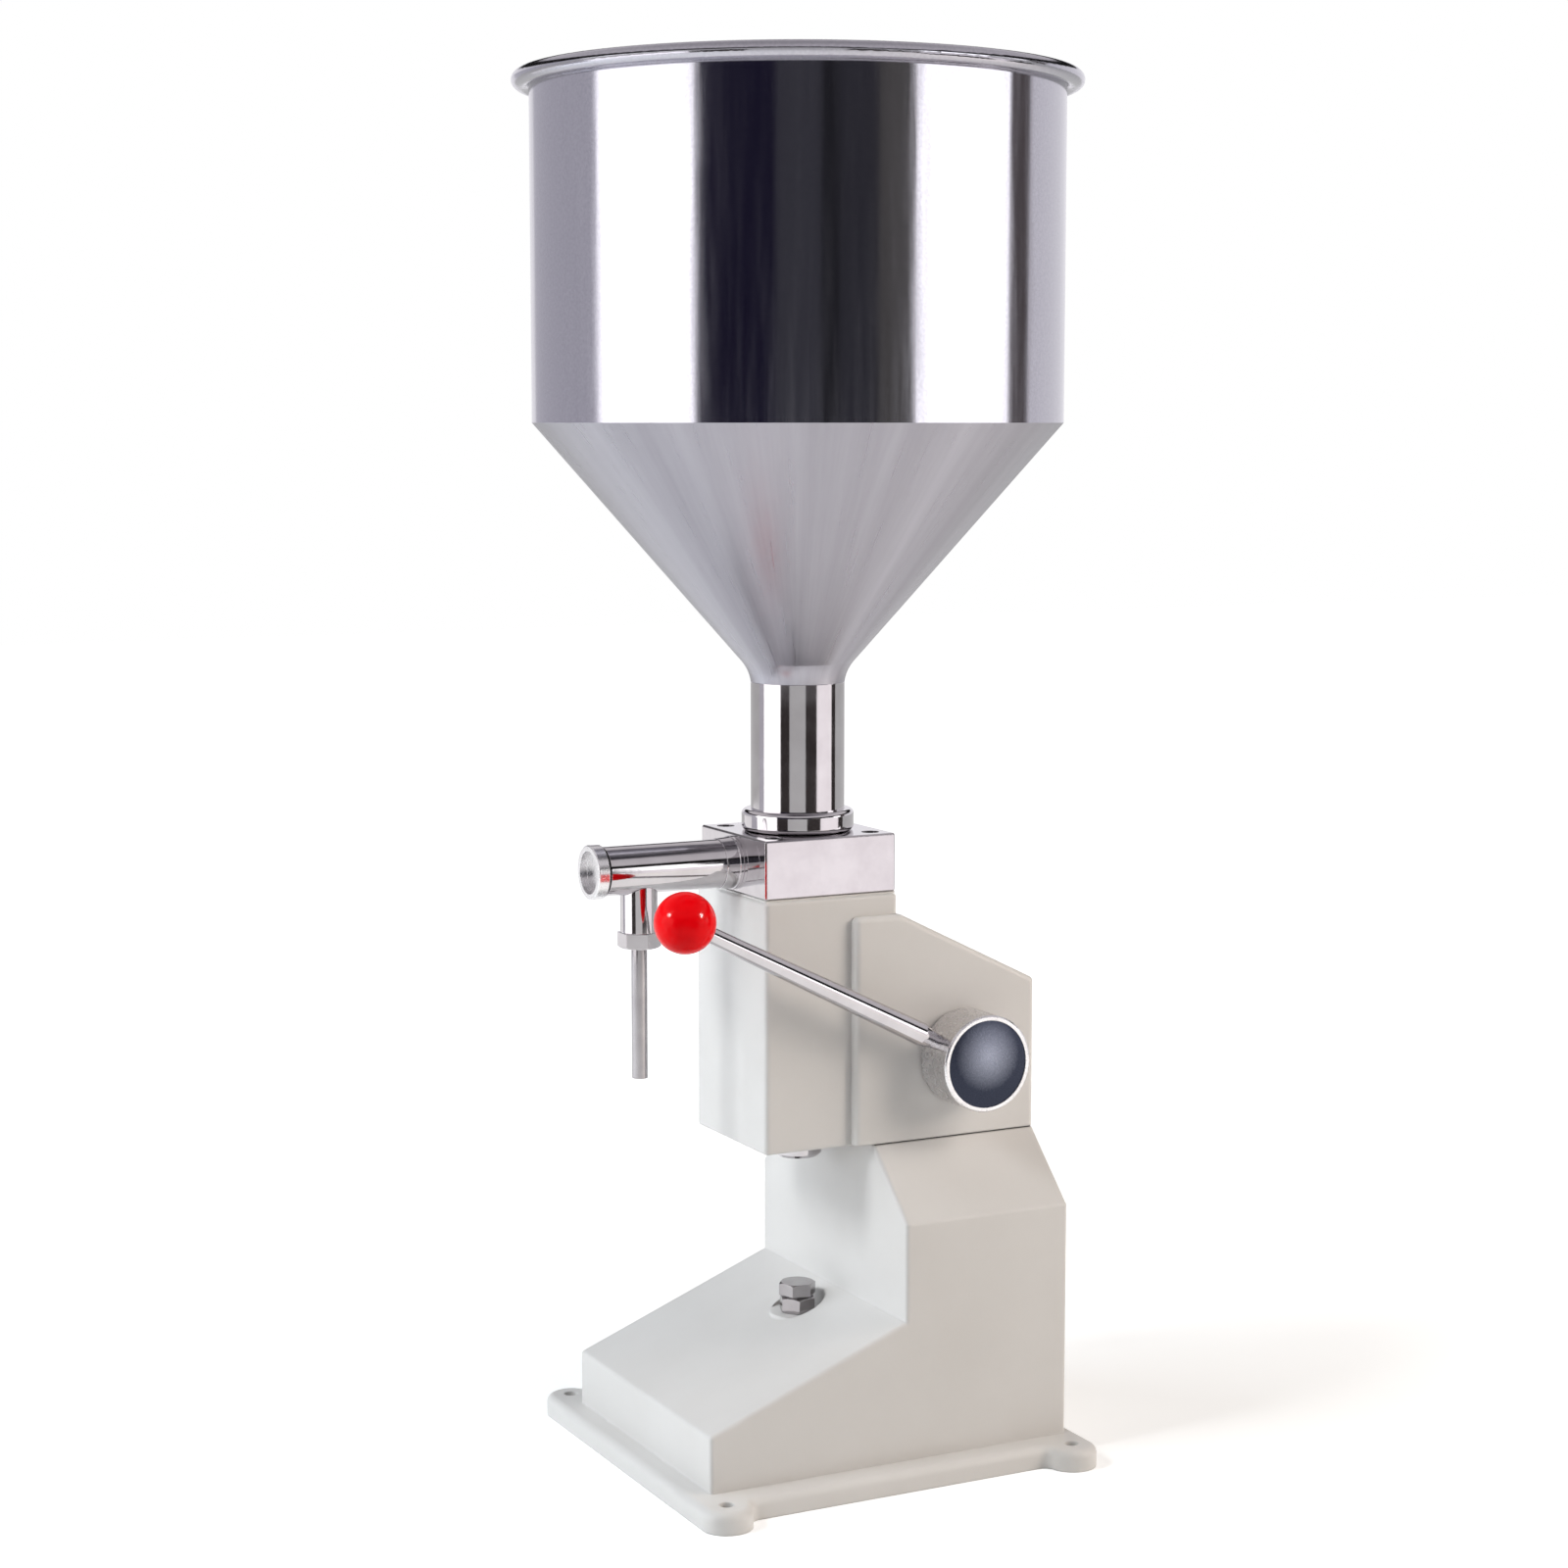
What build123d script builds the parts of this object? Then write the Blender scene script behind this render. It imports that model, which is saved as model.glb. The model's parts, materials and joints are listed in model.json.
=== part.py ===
from build123d import *
from math import atan2, cos, degrees, radians, sin
import os

# Hand-lever piston filler with an open hopper, in millimetres.
# +Z is up, -Y is the front with the sloping toe and the nozzle, +X is the lever side.
# The origin is the centre of the four foot holes, on the underside of the base.

os.makedirs("parts", exist_ok=True)

# Running and seating clearances, all radial or per side
slide_gap = 0.05
seat_gap = 0.02
face_gap = 0.3

# Base casting
foot_pitch_x = 192.0
foot_pitch_y = 197.0
foot_hole_d = 7.0
ear_r = 13.0
ear_neck_r = 6.0
plate_w = 190.0
plate_t = 11.0
plate_edge_r = 4.0
toe_w = 160.0
toe_reach = 89.0
toe_h = 39.5
slope_top_h = 82.5
shoulder_h = 132.5
pedestal_h = 166.0
pedestal_depth = 95.0
casting_wall = 7.0
casting_edge_r = 2.0

# Piston axis, lever shaft and the arm between them
piston_y = -10.5
arm_length = 72.0
stroke = 40.0
shaft_h = 42.4
shaft_d = 18.0
rear_reach = 43.5

# Gearbox housing, its gasket and its screws
housing_w = 91.0
housing_depth = 105.5
housing_h = 118.0
housing_rear_h = 79.0
housing_wall = 6.0
housing_edge_r = 3.0
joint_t = 0.8
joint_inset = 1.2
bush_wall = 3.0
bush_len = 17.5
boss_wall = 4.0
screw_d = 6.0
screw_head_d = 10.0
screw_head_h = 6.0
screw_socket_af = 5.0
screw_len = 20.0
screw_boss_r = 6.5
screw_boss_h = 20.0
screw_boss_sink = 2.0
column_screw_drop = 11.0
column_screw_rise = 21.0

# Column casting, cylinder and piston
column_w = 80.0
column_front = 38.5
column_rear = 36.7
column_h = 128.2
column_corner_r = 2.5
column_edge_r = 1.5
piston_d = 40.0
piston_len = 14.0
piston_dead_h = 2.2
groove_h = 3.0
groove_depth = 2.5
groove_land = 2.5
liner_wall = 6.0
liner_flange_w = 3.0
liner_flange_t = 4.0
rod_d = 25.0
rod_below = 11.5
rod_spigot_d = 12.0
rod_spigot_len = 7.0
pin_d = 8.0
guide_wall = 4.0
guide_len = 8.5
wiper_h = 3.0
wiper_wall = 2.0
arm_t = 12.0
arm_tip_r = 8.0
arm_root_r = 13.0
arm_boss_r = 17.0
arm_boss_w = 30.0
arm_side_room = 4.0
key_w = 6.0
key_sink = 3.5
key_rise = 2.5

# Valve block and its screws
block_w = 74.0
block_h = 30.0
block_edge = 1.0
gasket_t = 0.8
block_screw_pitch = 55.0
block_screw_d = 5.0
block_screw_head_d = 8.5
block_screw_head_h = 5.0
block_screw_grip = 14.0
block_screw_sink = 1.2

# Inlet valve
chamber_d = 34.0
inlet_seat_d = 38.0
inlet_seat_h = 6.0
inlet_throat_d = 22.0
inlet_head_d = 27.0
inlet_head_h = 2.5
inlet_cone_h = 4.0
inlet_stem_d = 6.0
inlet_lift = 4.0
spider_d = 44.0
spider_t = 3.8
spider_hub_d = 10.0
spider_hub_h = 4.0
spider_arm_w = 4.0
inlet_wire_d = 1.2
inlet_spring_d = 13.0
inlet_turns = 3

# Hopper, its neck and the collar that holds it
hopper_d = 268.0
hopper_cylinder_h = 168.7
hopper_wall = 1.0
rim_w = 9.8
rim_h = 8.4
cone_h = 131.0
cone_throat_h = 10.0
cone_throat_r = 28.3
neck_d = 48.0
neck_h = 76.0
collar_d = 57.6
collar_h = 11.0
collar_edge_r = 2.5
neck_ring_d = 2.4
neck_ring_h = 5.5

# Discharge pipe and outlet valve
pipe_d = 24.8
pipe_bore = 19.0
pipe_len = 72.5
pipe_spigot_d = 18.0
pipe_spigot_len = 8.0
port_d = 14.0
pipe_shoulder = 2.0
lock_ring_d = 27.4
lock_ring_rim = 2.0
lock_ring_len = 9.0
outlet_seat_len = 3.0
outlet_throat_d = 11.0
outlet_head_d = 16.0
outlet_head_t = 2.8
outlet_stem_d = 5.0
outlet_stem_len = 54.5
outlet_lift = 5.0
outlet_wire_d = 0.9
outlet_spring_d = 9.3
outlet_turns = 6
cap_d = 27.4
cap_flange_len = 5.9
cap_groove_len = 1.6
cap_recess_d = 21.4
cap_recess_depth = 4.0
cap_spigot_len = 10.0
cap_nose_d = 10.0
cap_nose_len = 3.0
cap_ring_d = 1.4

# Nozzle
nozzle_out = 52.5
nozzle_boss_d = 18.9
nozzle_boss_drop = 31.7
nozzle_nut_af = 19.0
nozzle_nut_h = 7.8
nozzle_spigot_d = 12.0
nozzle_spigot_len = 5.0
nozzle_tube_d = 8.0
nozzle_grip_d = 7.0
nozzle_tube_wall = 1.5
nozzle_tube_drop = 66.8
nozzle_tube_step = 66.4
nozzle_tube_grip = 17.5
ferrule_h = 2.8

# Lever, hub and ball knob
lever_angle = 26.9
lever_len = 183.5
hub_d = 50.0
hub_len = 25.6
hub_rim = 2.5
hub_cap_sink = 2.4
hub_cap_crown = 1.0
hub_bore_len = 18.0
lever_root_d = 12.0
lever_tip_d = 8.3
lever_cone_len = 11.0
lever_thread_d = 8.0
lever_thread_len = 12.0
knob_d = 30.6
knob_flat = 1.0
knob_thread_d = 6.0
knob_thread_len = 14.0

# Stop bolt and its lock nut
bolt_d = 10.0
bolt_af = 17.0
bolt_head_h = 6.4
bolt_shank = 70.0
bolt_show = 1.2
bolt_tip = 1.5
nut_h = 8.0
spot_d = 29.0
spot_h = 70.8
bolt_boss_wall = 11.0
bolt_boss_base = 48.0
hex_chamfer = 1.2
head_turn = 18.0
nut_turn = 40.5

# Places worked out from the sizes above
shaft_y = piston_y + arm_length
shaft_z = pedestal_h + shaft_h
rear_y = shaft_y + rear_reach
pedestal_front_y = rear_y - pedestal_depth
toe_front_y = piston_y - toe_reach
plate_depth = foot_pitch_y + 2 * ear_r
housing_front_y = rear_y - housing_depth
housing_base = pedestal_h + joint_t
column_rear_y = piston_y + column_rear
column_mid_y = piston_y + (column_rear - column_front) / 2
web_rear_y = column_rear_y + housing_wall
column_top = pedestal_h + column_h
block_bottom = column_top + gasket_t
block_top = block_bottom + block_h
block_front_y = piston_y - block_w / 2
pipe_z = block_bottom + block_h / 2
liner_d = piston_d + 2 * liner_wall
crown_z = column_top - piston_dead_h
piston_bottom = crown_z - piston_len
liner_bottom = piston_bottom - stroke - 2
rod_end_z = pedestal_h - rod_below
pin_z = shaft_z + stroke / 2
arm_angle = degrees(atan2(stroke / 2, arm_length))
pin_reach = arm_length / cos(radians(arm_angle))
slot_travel = pin_reach - arm_length + 2 * face_gap
arm_tip = pin_reach + face_gap
slot_rise = (stroke / 2 + arm_root_r - arm_tip_r) / arm_length
slot_half_h = arm_tip_r / cos(radians(arm_angle)) + rod_d / 2 * slot_rise + 2 * face_gap
guide_d = rod_d + 2 * guide_wall
arm_room = rod_d + 5.0
bush_d = shaft_d + 2 * bush_wall
boss_in_x = housing_w / 2 - bush_len
hub_back_x = housing_w / 2 + 0.5
hub_face_x = hub_back_x + hub_len
shaft_left_x = -(housing_w / 2 - housing_wall)
shaft_right_x = hub_back_x + hub_bore_len
lever_x = hub_back_x + hub_len / 2
neck_r = neck_d / 2
cone_base_z = block_top + neck_h
cylinder_base_z = cone_base_z + cone_h
rim_z = cylinder_base_z + hopper_cylinder_h
nozzle_y = block_front_y - nozzle_out
nozzle_nut_top = pipe_z - nozzle_boss_drop
nozzle_nut_bottom = nozzle_nut_top - nozzle_nut_h
screw_x = housing_w / 2 - housing_wall - screw_boss_r + screw_boss_sink
screw_front_y = web_rear_y + screw_boss_r - screw_boss_sink
screw_rear_y = rear_y - casting_wall - screw_head_d / 2 - 1
screw_ys = (screw_front_y, screw_rear_y)
column_screw_x = (column_w / 2 + arm_room / 2) / 2
column_screw_zs = (shaft_z - column_screw_drop, shaft_z + column_screw_rise)
groove_zs = (piston_bottom + groove_land, piston_bottom + 2 * groove_land + groove_h)
slope_tilt = (slope_top_h - toe_h) / (pedestal_front_y - toe_front_y)

# Working planes and axes
piston_axis = Axis((0, piston_y, 0), (0, 0, 1))
piston_plane = Plane(origin=(0, piston_y, 0), x_dir=(1, 0, 0), z_dir=(0, -1, 0))
shaft_axis = Axis((0, shaft_y, shaft_z), (1, 0, 0))
shaft_plane = Plane(origin=(0, shaft_y, shaft_z), x_dir=(1, 0, 0), z_dir=(0, -1, 0))
shaft_end_plane = Plane(origin=(0, shaft_y, shaft_z), x_dir=(0, 1, 0), z_dir=(1, 0, 0))
pipe_axis = Axis((0, block_front_y, pipe_z), (0, -1, 0))
pipe_plane = Plane(origin=(0, block_front_y, pipe_z), x_dir=(0, -1, 0), z_dir=(-1, 0, 0))
port_plane = Plane(origin=(0, block_front_y, pipe_z), x_dir=(1, 0, 0), z_dir=(0, -1, 0))
nozzle_axis = Axis((0, nozzle_y, 0), (0, 0, 1))
nozzle_plane = Plane(origin=(0, nozzle_y, 0), x_dir=(1, 0, 0), z_dir=(0, -1, 0))
arm_dir = (0, -cos(radians(arm_angle)), sin(radians(arm_angle)))
arm_plane = Plane(origin=(0, shaft_y, shaft_z), x_dir=arm_dir, z_dir=(-1, 0, 0))
lever_dir = (0, -cos(radians(lever_angle)), sin(radians(lever_angle)))
lever_axis = Axis((lever_x, shaft_y, shaft_z), lever_dir)
lever_plane = Plane(origin=(lever_x, shaft_y, shaft_z), x_dir=lever_dir, z_dir=(-1, 0, 0))
lever_root_plane = Plane(origin=(lever_x, shaft_y, shaft_z), z_dir=lever_dir)
grub_plane = Plane(origin=(lever_x, shaft_y, shaft_z), z_dir=(0, -lever_dir[1], -lever_dir[2]))

# Pedestal: straight sides, then shoulders that draw in to the housing's width
with BuildPart() as pedestal_form:
    with BuildSketch(Plane.XZ.offset(-rear_y)) as pedestal_profile:
        Polygon(
            (-toe_w / 2, 0),
            (toe_w / 2, 0),
            (toe_w / 2, shoulder_h),
            (housing_w / 2, pedestal_h),
            (-housing_w / 2, pedestal_h),
            (-toe_w / 2, shoulder_h),
            align=None,
        )
    extrude(amount=pedestal_depth)
    fillet(pedestal_form.edges().filter_by(Axis.Z), casting_edge_r)
    ridges = pedestal_form.edges().filter_by(Axis.Y).filter_by_position(Axis.Z, plate_t, pedestal_h - 1)
    fillet(ridges, casting_edge_r)

# Toe: the wedge that carries the stop bolt under the piston
with BuildPart() as toe_form:
    with BuildSketch(Plane.YZ):
        Polygon(
            (toe_front_y, 0),
            (pedestal_front_y + casting_wall, 0),
            (pedestal_front_y + casting_wall, slope_top_h + casting_wall * slope_tilt),
            (toe_front_y, toe_h),
            align=None,
        )
    extrude(amount=toe_w / 2, both=True)
    toe_rear_edges = toe_form.faces().sort_by(Axis.Y)[-1].edges()
    toe_base_edges = toe_form.faces().sort_by(Axis.Z)[0].edges()
    fillet(toe_form.edges() - toe_rear_edges - toe_base_edges, casting_edge_r)

# Core: the hollow under the casting, which leaves a boss for the stop bolt
with BuildPart() as base_core:
    with BuildSketch(Plane.XZ.offset(-(rear_y - casting_wall))):
        Polygon(
            (-toe_w / 2, -casting_wall),
            (toe_w / 2, -casting_wall),
            (toe_w / 2, shoulder_h),
            (housing_w / 2, pedestal_h),
            (-housing_w / 2, pedestal_h),
            (-toe_w / 2, shoulder_h),
            align=None,
        )
        offset(amount=-casting_wall, kind=Kind.INTERSECTION)
    extrude(amount=pedestal_depth - 2 * casting_wall)
    with BuildSketch(Plane.YZ):
        Polygon(
            (toe_front_y, -casting_wall),
            (pedestal_front_y + 2 * casting_wall + 1, -casting_wall),
            (pedestal_front_y + 2 * casting_wall + 1, slope_top_h),
            (pedestal_front_y, slope_top_h),
            (toe_front_y, toe_h),
            align=None,
        )
        offset(amount=-casting_wall, kind=Kind.INTERSECTION)
    extrude(amount=toe_w / 2 - casting_wall, both=True)
    with BuildSketch(Plane.XY.offset(bolt_boss_base)):
        with Locations((0, piston_y)):
            Circle(bolt_d / 2 + bolt_boss_wall)
    extrude(amount=slope_top_h, mode=Mode.SUBTRACT)

# Base casting: plate with ears, toe and pedestal, cored out from below
with BuildPart() as base_casting:
    with BuildSketch() as plate_outline:
        Rectangle(plate_w, plate_depth)
        with GridLocations(0, foot_pitch_y + ear_r, 1, 2):
            Rectangle(foot_pitch_x, ear_r)
        with GridLocations(foot_pitch_x, foot_pitch_y, 2, 2):
            Circle(ear_r)
        fillet([v for v in plate_outline.vertices() if abs(v.Y) < foot_pitch_y / 2 - 1], ear_neck_r)
    extrude(amount=plate_t)
    fillet(base_casting.faces().sort_by(Axis.Z)[-1].edges(), plate_edge_r)
    add(toe_form.part)
    add(pedestal_form.part)
    add(base_core.part, mode=Mode.SUBTRACT)
    with BuildSketch():
        with GridLocations(foot_pitch_x, foot_pitch_y, 2, 2):
            Circle(foot_hole_d / 2)
    extrude(amount=plate_t, mode=Mode.SUBTRACT)
    with BuildSketch(Plane.XY.offset(bolt_boss_base)):
        with Locations((0, piston_y)):
            Circle(spot_d / 2)
    extrude(amount=spot_h - bolt_boss_base)
    with BuildSketch(Plane.XY.offset(spot_h)):
        with Locations((0, piston_y)):
            Circle(spot_d / 2)
    extrude(amount=slope_top_h - spot_h + casting_wall, mode=Mode.SUBTRACT)
    with BuildSketch(Plane.XY.offset(bolt_boss_base)):
        with Locations((0, piston_y)):
            Circle(bolt_d / 2 + slide_gap)
    extrude(amount=slope_top_h - bolt_boss_base, mode=Mode.SUBTRACT)
    with BuildSketch(Plane.XY.offset(pedestal_h - casting_wall)):
        with Locations([(sx * screw_x, y) for sx in (-1, 1) for y in screw_ys]):
            Circle(screw_d / 2 + seat_gap)
    extrude(amount=casting_wall, mode=Mode.SUBTRACT)
base_casting.part.label = "base_casting"
export_step(base_casting.part, "parts/base_casting.step")

# Gearbox housing: a shell open below, with a web and two wings that clasp the column
with BuildPart() as gearbox_housing:
    with BuildSketch(Plane.YZ):
        Polygon(
            (housing_front_y, housing_base),
            (rear_y, housing_base),
            (rear_y, pedestal_h + housing_rear_h),
            (column_rear_y, pedestal_h + housing_h),
            (housing_front_y, pedestal_h + housing_h),
            align=None,
        )
    extrude(amount=housing_w / 2, both=True)
    housing_base_edges = gearbox_housing.faces().sort_by(Axis.Z)[0].edges()
    fillet(gearbox_housing.edges() - housing_base_edges, housing_edge_r)
    with BuildSketch(Plane.XY.offset(housing_base)):
        with Locations((0, (housing_front_y + column_rear_y) / 2)):
            Rectangle(column_w + 2 * seat_gap, column_rear_y - housing_front_y + 2 * seat_gap)
    extrude(amount=housing_h, mode=Mode.SUBTRACT)
    with BuildSketch(Plane.YZ):
        Polygon(
            (web_rear_y, housing_base),
            (rear_y - housing_wall, housing_base),
            (rear_y - housing_wall, pedestal_h + housing_rear_h - housing_wall),
            (web_rear_y, pedestal_h + housing_h - 2 * housing_wall),
            align=None,
        )
    extrude(amount=housing_w / 2 - housing_wall, both=True, mode=Mode.SUBTRACT)
    # Bosses for the two shaft bushes
    for side in (-1, 1):
        with BuildSketch(shaft_end_plane.offset(side * boss_in_x)):
            Circle(bush_d / 2 + boss_wall)
        extrude(amount=side * (housing_w / 2 - housing_wall / 2 - boss_in_x))
    with BuildSketch(shaft_end_plane.offset(boss_in_x)):
        Circle(bush_d / 2)
    extrude(amount=bush_len, mode=Mode.SUBTRACT)
    with BuildSketch(shaft_end_plane.offset(-boss_in_x)):
        Circle(bush_d / 2)
    extrude(amount=-(bush_len - housing_wall), mode=Mode.SUBTRACT)
    # Bosses for the screws that come up through the pedestal
    with BuildSketch(Plane.XY.offset(housing_base)):
        with Locations([(sx * screw_x, y) for sx in (-1, 1) for y in screw_ys]):
            Circle(screw_boss_r)
    extrude(amount=screw_boss_h)
    with BuildSketch(Plane.XY.offset(housing_base)):
        with Locations([(sx * screw_x, y) for sx in (-1, 1) for y in screw_ys]):
            Circle(screw_d / 2 + seat_gap)
    extrude(amount=screw_len - casting_wall - joint_t + 1, mode=Mode.SUBTRACT)
    # Window for the arm, and holes for the column screws, through the web
    with BuildSketch(Plane.XZ.offset(-web_rear_y)):
        with Locations((0, shaft_z)):
            Rectangle(arm_t + 2 * arm_side_room, 2 * (arm_root_r + stroke / 4))
        with Locations([(sx * column_screw_x, z) for sx in (-1, 1) for z in column_screw_zs]):
            Circle(screw_d / 2 + seat_gap)
    extrude(amount=housing_wall, mode=Mode.SUBTRACT)
gearbox_housing.part.label = "gearbox_housing"
export_step(gearbox_housing.part, "parts/gearbox_housing.step")

# Gasket between the pedestal and the housing, set in from their sides
with BuildPart() as housing_gasket:
    with BuildSketch(Plane.XY.offset(pedestal_h)):
        with Locations((0, (pedestal_front_y + rear_y) / 2)):
            Rectangle(housing_w - 2 * joint_inset, pedestal_depth - 2 * joint_inset)
        with Locations((0, (housing_front_y + column_rear_y) / 2)):
            Rectangle(
                column_w + 2 * seat_gap,
                column_rear_y - housing_front_y + 2 * seat_gap,
                mode=Mode.SUBTRACT,
            )
        with Locations((0, (web_rear_y + rear_y - housing_wall) / 2)):
            Rectangle(
                housing_w - 2 * housing_wall,
                rear_y - housing_wall - web_rear_y,
                mode=Mode.SUBTRACT,
            )
        with Locations([(sx * screw_x, y) for sx in (-1, 1) for y in screw_ys]):
            Circle(screw_boss_r)
            Circle(screw_d / 2 + seat_gap, mode=Mode.SUBTRACT)
    extrude(amount=joint_t)
housing_gasket.part.label = "housing_gasket"
export_step(housing_gasket.part, "parts/housing_gasket.step")

# Column casting: bored for the cylinder above and open at the rear for the arm below
with BuildPart() as column_casting:
    with BuildSketch(Plane.XY.offset(pedestal_h)):
        with Locations((0, column_mid_y)):
            RectangleRounded(column_w, column_front + column_rear, column_corner_r)
    extrude(amount=column_h)
    fillet(column_casting.faces().sort_by(Axis.Z)[-1].edges(), column_edge_r)
    fillet(column_casting.faces().sort_by(Axis.Z)[0].edges(), column_edge_r)
    with BuildSketch(Plane.XY.offset(liner_bottom)):
        with Locations((0, piston_y)):
            Circle(liner_d / 2 + seat_gap)
    extrude(amount=column_top - liner_bottom, mode=Mode.SUBTRACT)
    with BuildSketch(Plane.XY.offset(column_top - liner_flange_t)):
        with Locations((0, piston_y)):
            Circle(liner_d / 2 + liner_flange_w + seat_gap)
    extrude(amount=liner_flange_t, mode=Mode.SUBTRACT)
    with BuildSketch(Plane.XY.offset(pedestal_h + guide_len)):
        with Locations((0, (piston_y - arm_room / 2 + column_rear_y) / 2)):
            Rectangle(arm_room, column_rear_y - piston_y + arm_room / 2)
    extrude(amount=liner_bottom - pedestal_h - guide_len, mode=Mode.SUBTRACT)
    with BuildSketch(Plane.XY.offset(pedestal_h)):
        with Locations((0, piston_y)):
            Circle(guide_d / 2 + seat_gap)
    extrude(amount=guide_len, mode=Mode.SUBTRACT)
    with BuildSketch(Plane.XY.offset(column_top - block_screw_grip)):
        with Locations((0, piston_y)):
            with GridLocations(block_screw_pitch, block_screw_pitch, 2, 2):
                Circle(block_screw_d / 2 + seat_gap)
    extrude(amount=block_screw_grip, mode=Mode.SUBTRACT)
    with BuildSketch(Plane.XZ.offset(-column_rear_y)):
        with Locations([(sx * column_screw_x, z) for sx in (-1, 1) for z in column_screw_zs]):
            Circle(screw_d / 2 + seat_gap)
    extrude(amount=screw_len - housing_wall + 1, mode=Mode.SUBTRACT)
column_casting.part.label = "column_casting"
export_step(column_casting.part, "parts/column_casting.step")


def screw_profile(d, head_d, head_h, length):
    """Half section of a socket-head screw: radius across, the head above zero, the shank below."""
    return Polygon(
        (0, -length),
        (d / 2, -length),
        (d / 2, 0),
        (head_d / 2, 0),
        (head_d / 2, head_h),
        (0, head_h),
        align=None,
    )


# Screws that hold the column to the web of the housing
with BuildPart() as column_screws:
    for sx in (-1, 1):
        for z in column_screw_zs:
            screw_at = (sx * column_screw_x, web_rear_y, z)
            with BuildSketch(Plane(origin=screw_at, x_dir=(1, 0, 0), z_dir=(0, 0, 1))):
                screw_profile(screw_d, screw_head_d, screw_head_h, screw_len)
            revolve(axis=Axis(screw_at, (0, 1, 0)))
            with BuildSketch(Plane(origin=screw_at, z_dir=(0, 1, 0)).offset(screw_head_h)):
                RegularPolygon(screw_socket_af / 2, 6, major_radius=False)
            extrude(amount=-screw_head_h / 2, mode=Mode.SUBTRACT)
column_screws.part.label = "column_screws"
export_step(column_screws.part, "parts/column_screws.step")

# Screws that hold the housing to the pedestal from below
with BuildPart() as housing_screws:
    for sx in (-1, 1):
        for y in screw_ys:
            screw_at = (sx * screw_x, y, pedestal_h - casting_wall)
            with BuildSketch(Plane(origin=screw_at, x_dir=(1, 0, 0), z_dir=(0, 1, 0))):
                screw_profile(screw_d, screw_head_d, screw_head_h, screw_len)
            revolve(axis=Axis(screw_at, (0, 0, 1)))
            with BuildSketch(Plane.XY.offset(pedestal_h - casting_wall - screw_head_h)):
                with Locations((sx * screw_x, y)):
                    RegularPolygon(screw_socket_af / 2, 6, major_radius=False)
            extrude(amount=screw_head_h / 2, mode=Mode.SUBTRACT)
housing_screws.part.label = "housing_screws"
export_step(housing_screws.part, "parts/housing_screws.step")

# Cylinder liner with its top flange
with BuildPart() as cylinder_liner:
    with BuildSketch(piston_plane):
        Polygon(
            (piston_d / 2, liner_bottom),
            (liner_d / 2, liner_bottom),
            (liner_d / 2, column_top - liner_flange_t),
            (liner_d / 2 + liner_flange_w, column_top - liner_flange_t),
            (liner_d / 2 + liner_flange_w, column_top),
            (piston_d / 2, column_top),
            align=None,
        )
    revolve(axis=piston_axis)
cylinder_liner.part.label = "cylinder_liner"
export_step(cylinder_liner.part, "parts/cylinder_liner.step")

# Guide bush at the foot of the column, counterbored for the wiper
with BuildPart() as rod_guide_bush:
    with BuildSketch(piston_plane):
        Polygon(
            (rod_d / 2 + wiper_wall + seat_gap, pedestal_h),
            (guide_d / 2, pedestal_h),
            (guide_d / 2, pedestal_h + guide_len),
            (rod_d / 2 + slide_gap, pedestal_h + guide_len),
            (rod_d / 2 + slide_gap, pedestal_h + wiper_h),
            (rod_d / 2 + wiper_wall + seat_gap, pedestal_h + wiper_h),
            align=None,
        )
    revolve(axis=piston_axis)
rod_guide_bush.part.label = "rod_guide_bush"
export_step(rod_guide_bush.part, "parts/rod_guide_bush.step")

# Wiper ring that keeps dirt out of the guide bush
with BuildPart() as rod_wiper:
    with BuildSketch(Plane.XY.offset(pedestal_h)):
        with Locations((0, piston_y)):
            Circle(rod_d / 2 + wiper_wall)
            Circle(rod_d / 2 + slide_gap, mode=Mode.SUBTRACT)
    extrude(amount=wiper_h)
rod_wiper.part.label = "rod_wiper"
export_step(rod_wiper.part, "parts/rod_wiper.step")

# Piston with two seal grooves and a pocket for its screw
with BuildPart() as piston:
    with BuildSketch(Plane.XY.offset(piston_bottom)):
        with Locations((0, piston_y)):
            Circle(piston_d / 2 - slide_gap)
    extrude(amount=piston_len)
    for z in groove_zs:
        with BuildSketch(Plane.XY.offset(z)):
            with Locations((0, piston_y)):
                Circle(piston_d / 2)
                Circle(piston_d / 2 - groove_depth, mode=Mode.SUBTRACT)
        extrude(amount=groove_h, mode=Mode.SUBTRACT)
    with BuildSketch(Plane.XY.offset(piston_bottom)):
        with Locations((0, piston_y)):
            Circle(rod_spigot_d / 2 + seat_gap)
    extrude(amount=rod_spigot_len, mode=Mode.SUBTRACT)
    with BuildSketch(Plane.XY.offset(crown_z - screw_head_h - 0.5)):
        with Locations((0, piston_y)):
            Circle(screw_head_d / 2 + face_gap)
    extrude(amount=screw_head_h + 0.5, mode=Mode.SUBTRACT)
    with BuildSketch(Plane.XY.offset(piston_bottom)):
        with Locations((0, piston_y)):
            Circle(screw_d / 2 + seat_gap)
    extrude(amount=piston_len, mode=Mode.SUBTRACT)
piston.part.label = "piston"
export_step(piston.part, "parts/piston.step")

# The two piston seals
with BuildPart() as piston_seals:
    for z in groove_zs:
        with BuildSketch(Plane.XY.offset(z + seat_gap)):
            with Locations((0, piston_y)):
                Circle(piston_d / 2 - seat_gap)
                Circle(piston_d / 2 - groove_depth + seat_gap, mode=Mode.SUBTRACT)
        extrude(amount=groove_h - 2 * seat_gap)
piston_seals.part.label = "piston_seals"
export_step(piston_seals.part, "parts/piston_seals.step")

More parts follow.
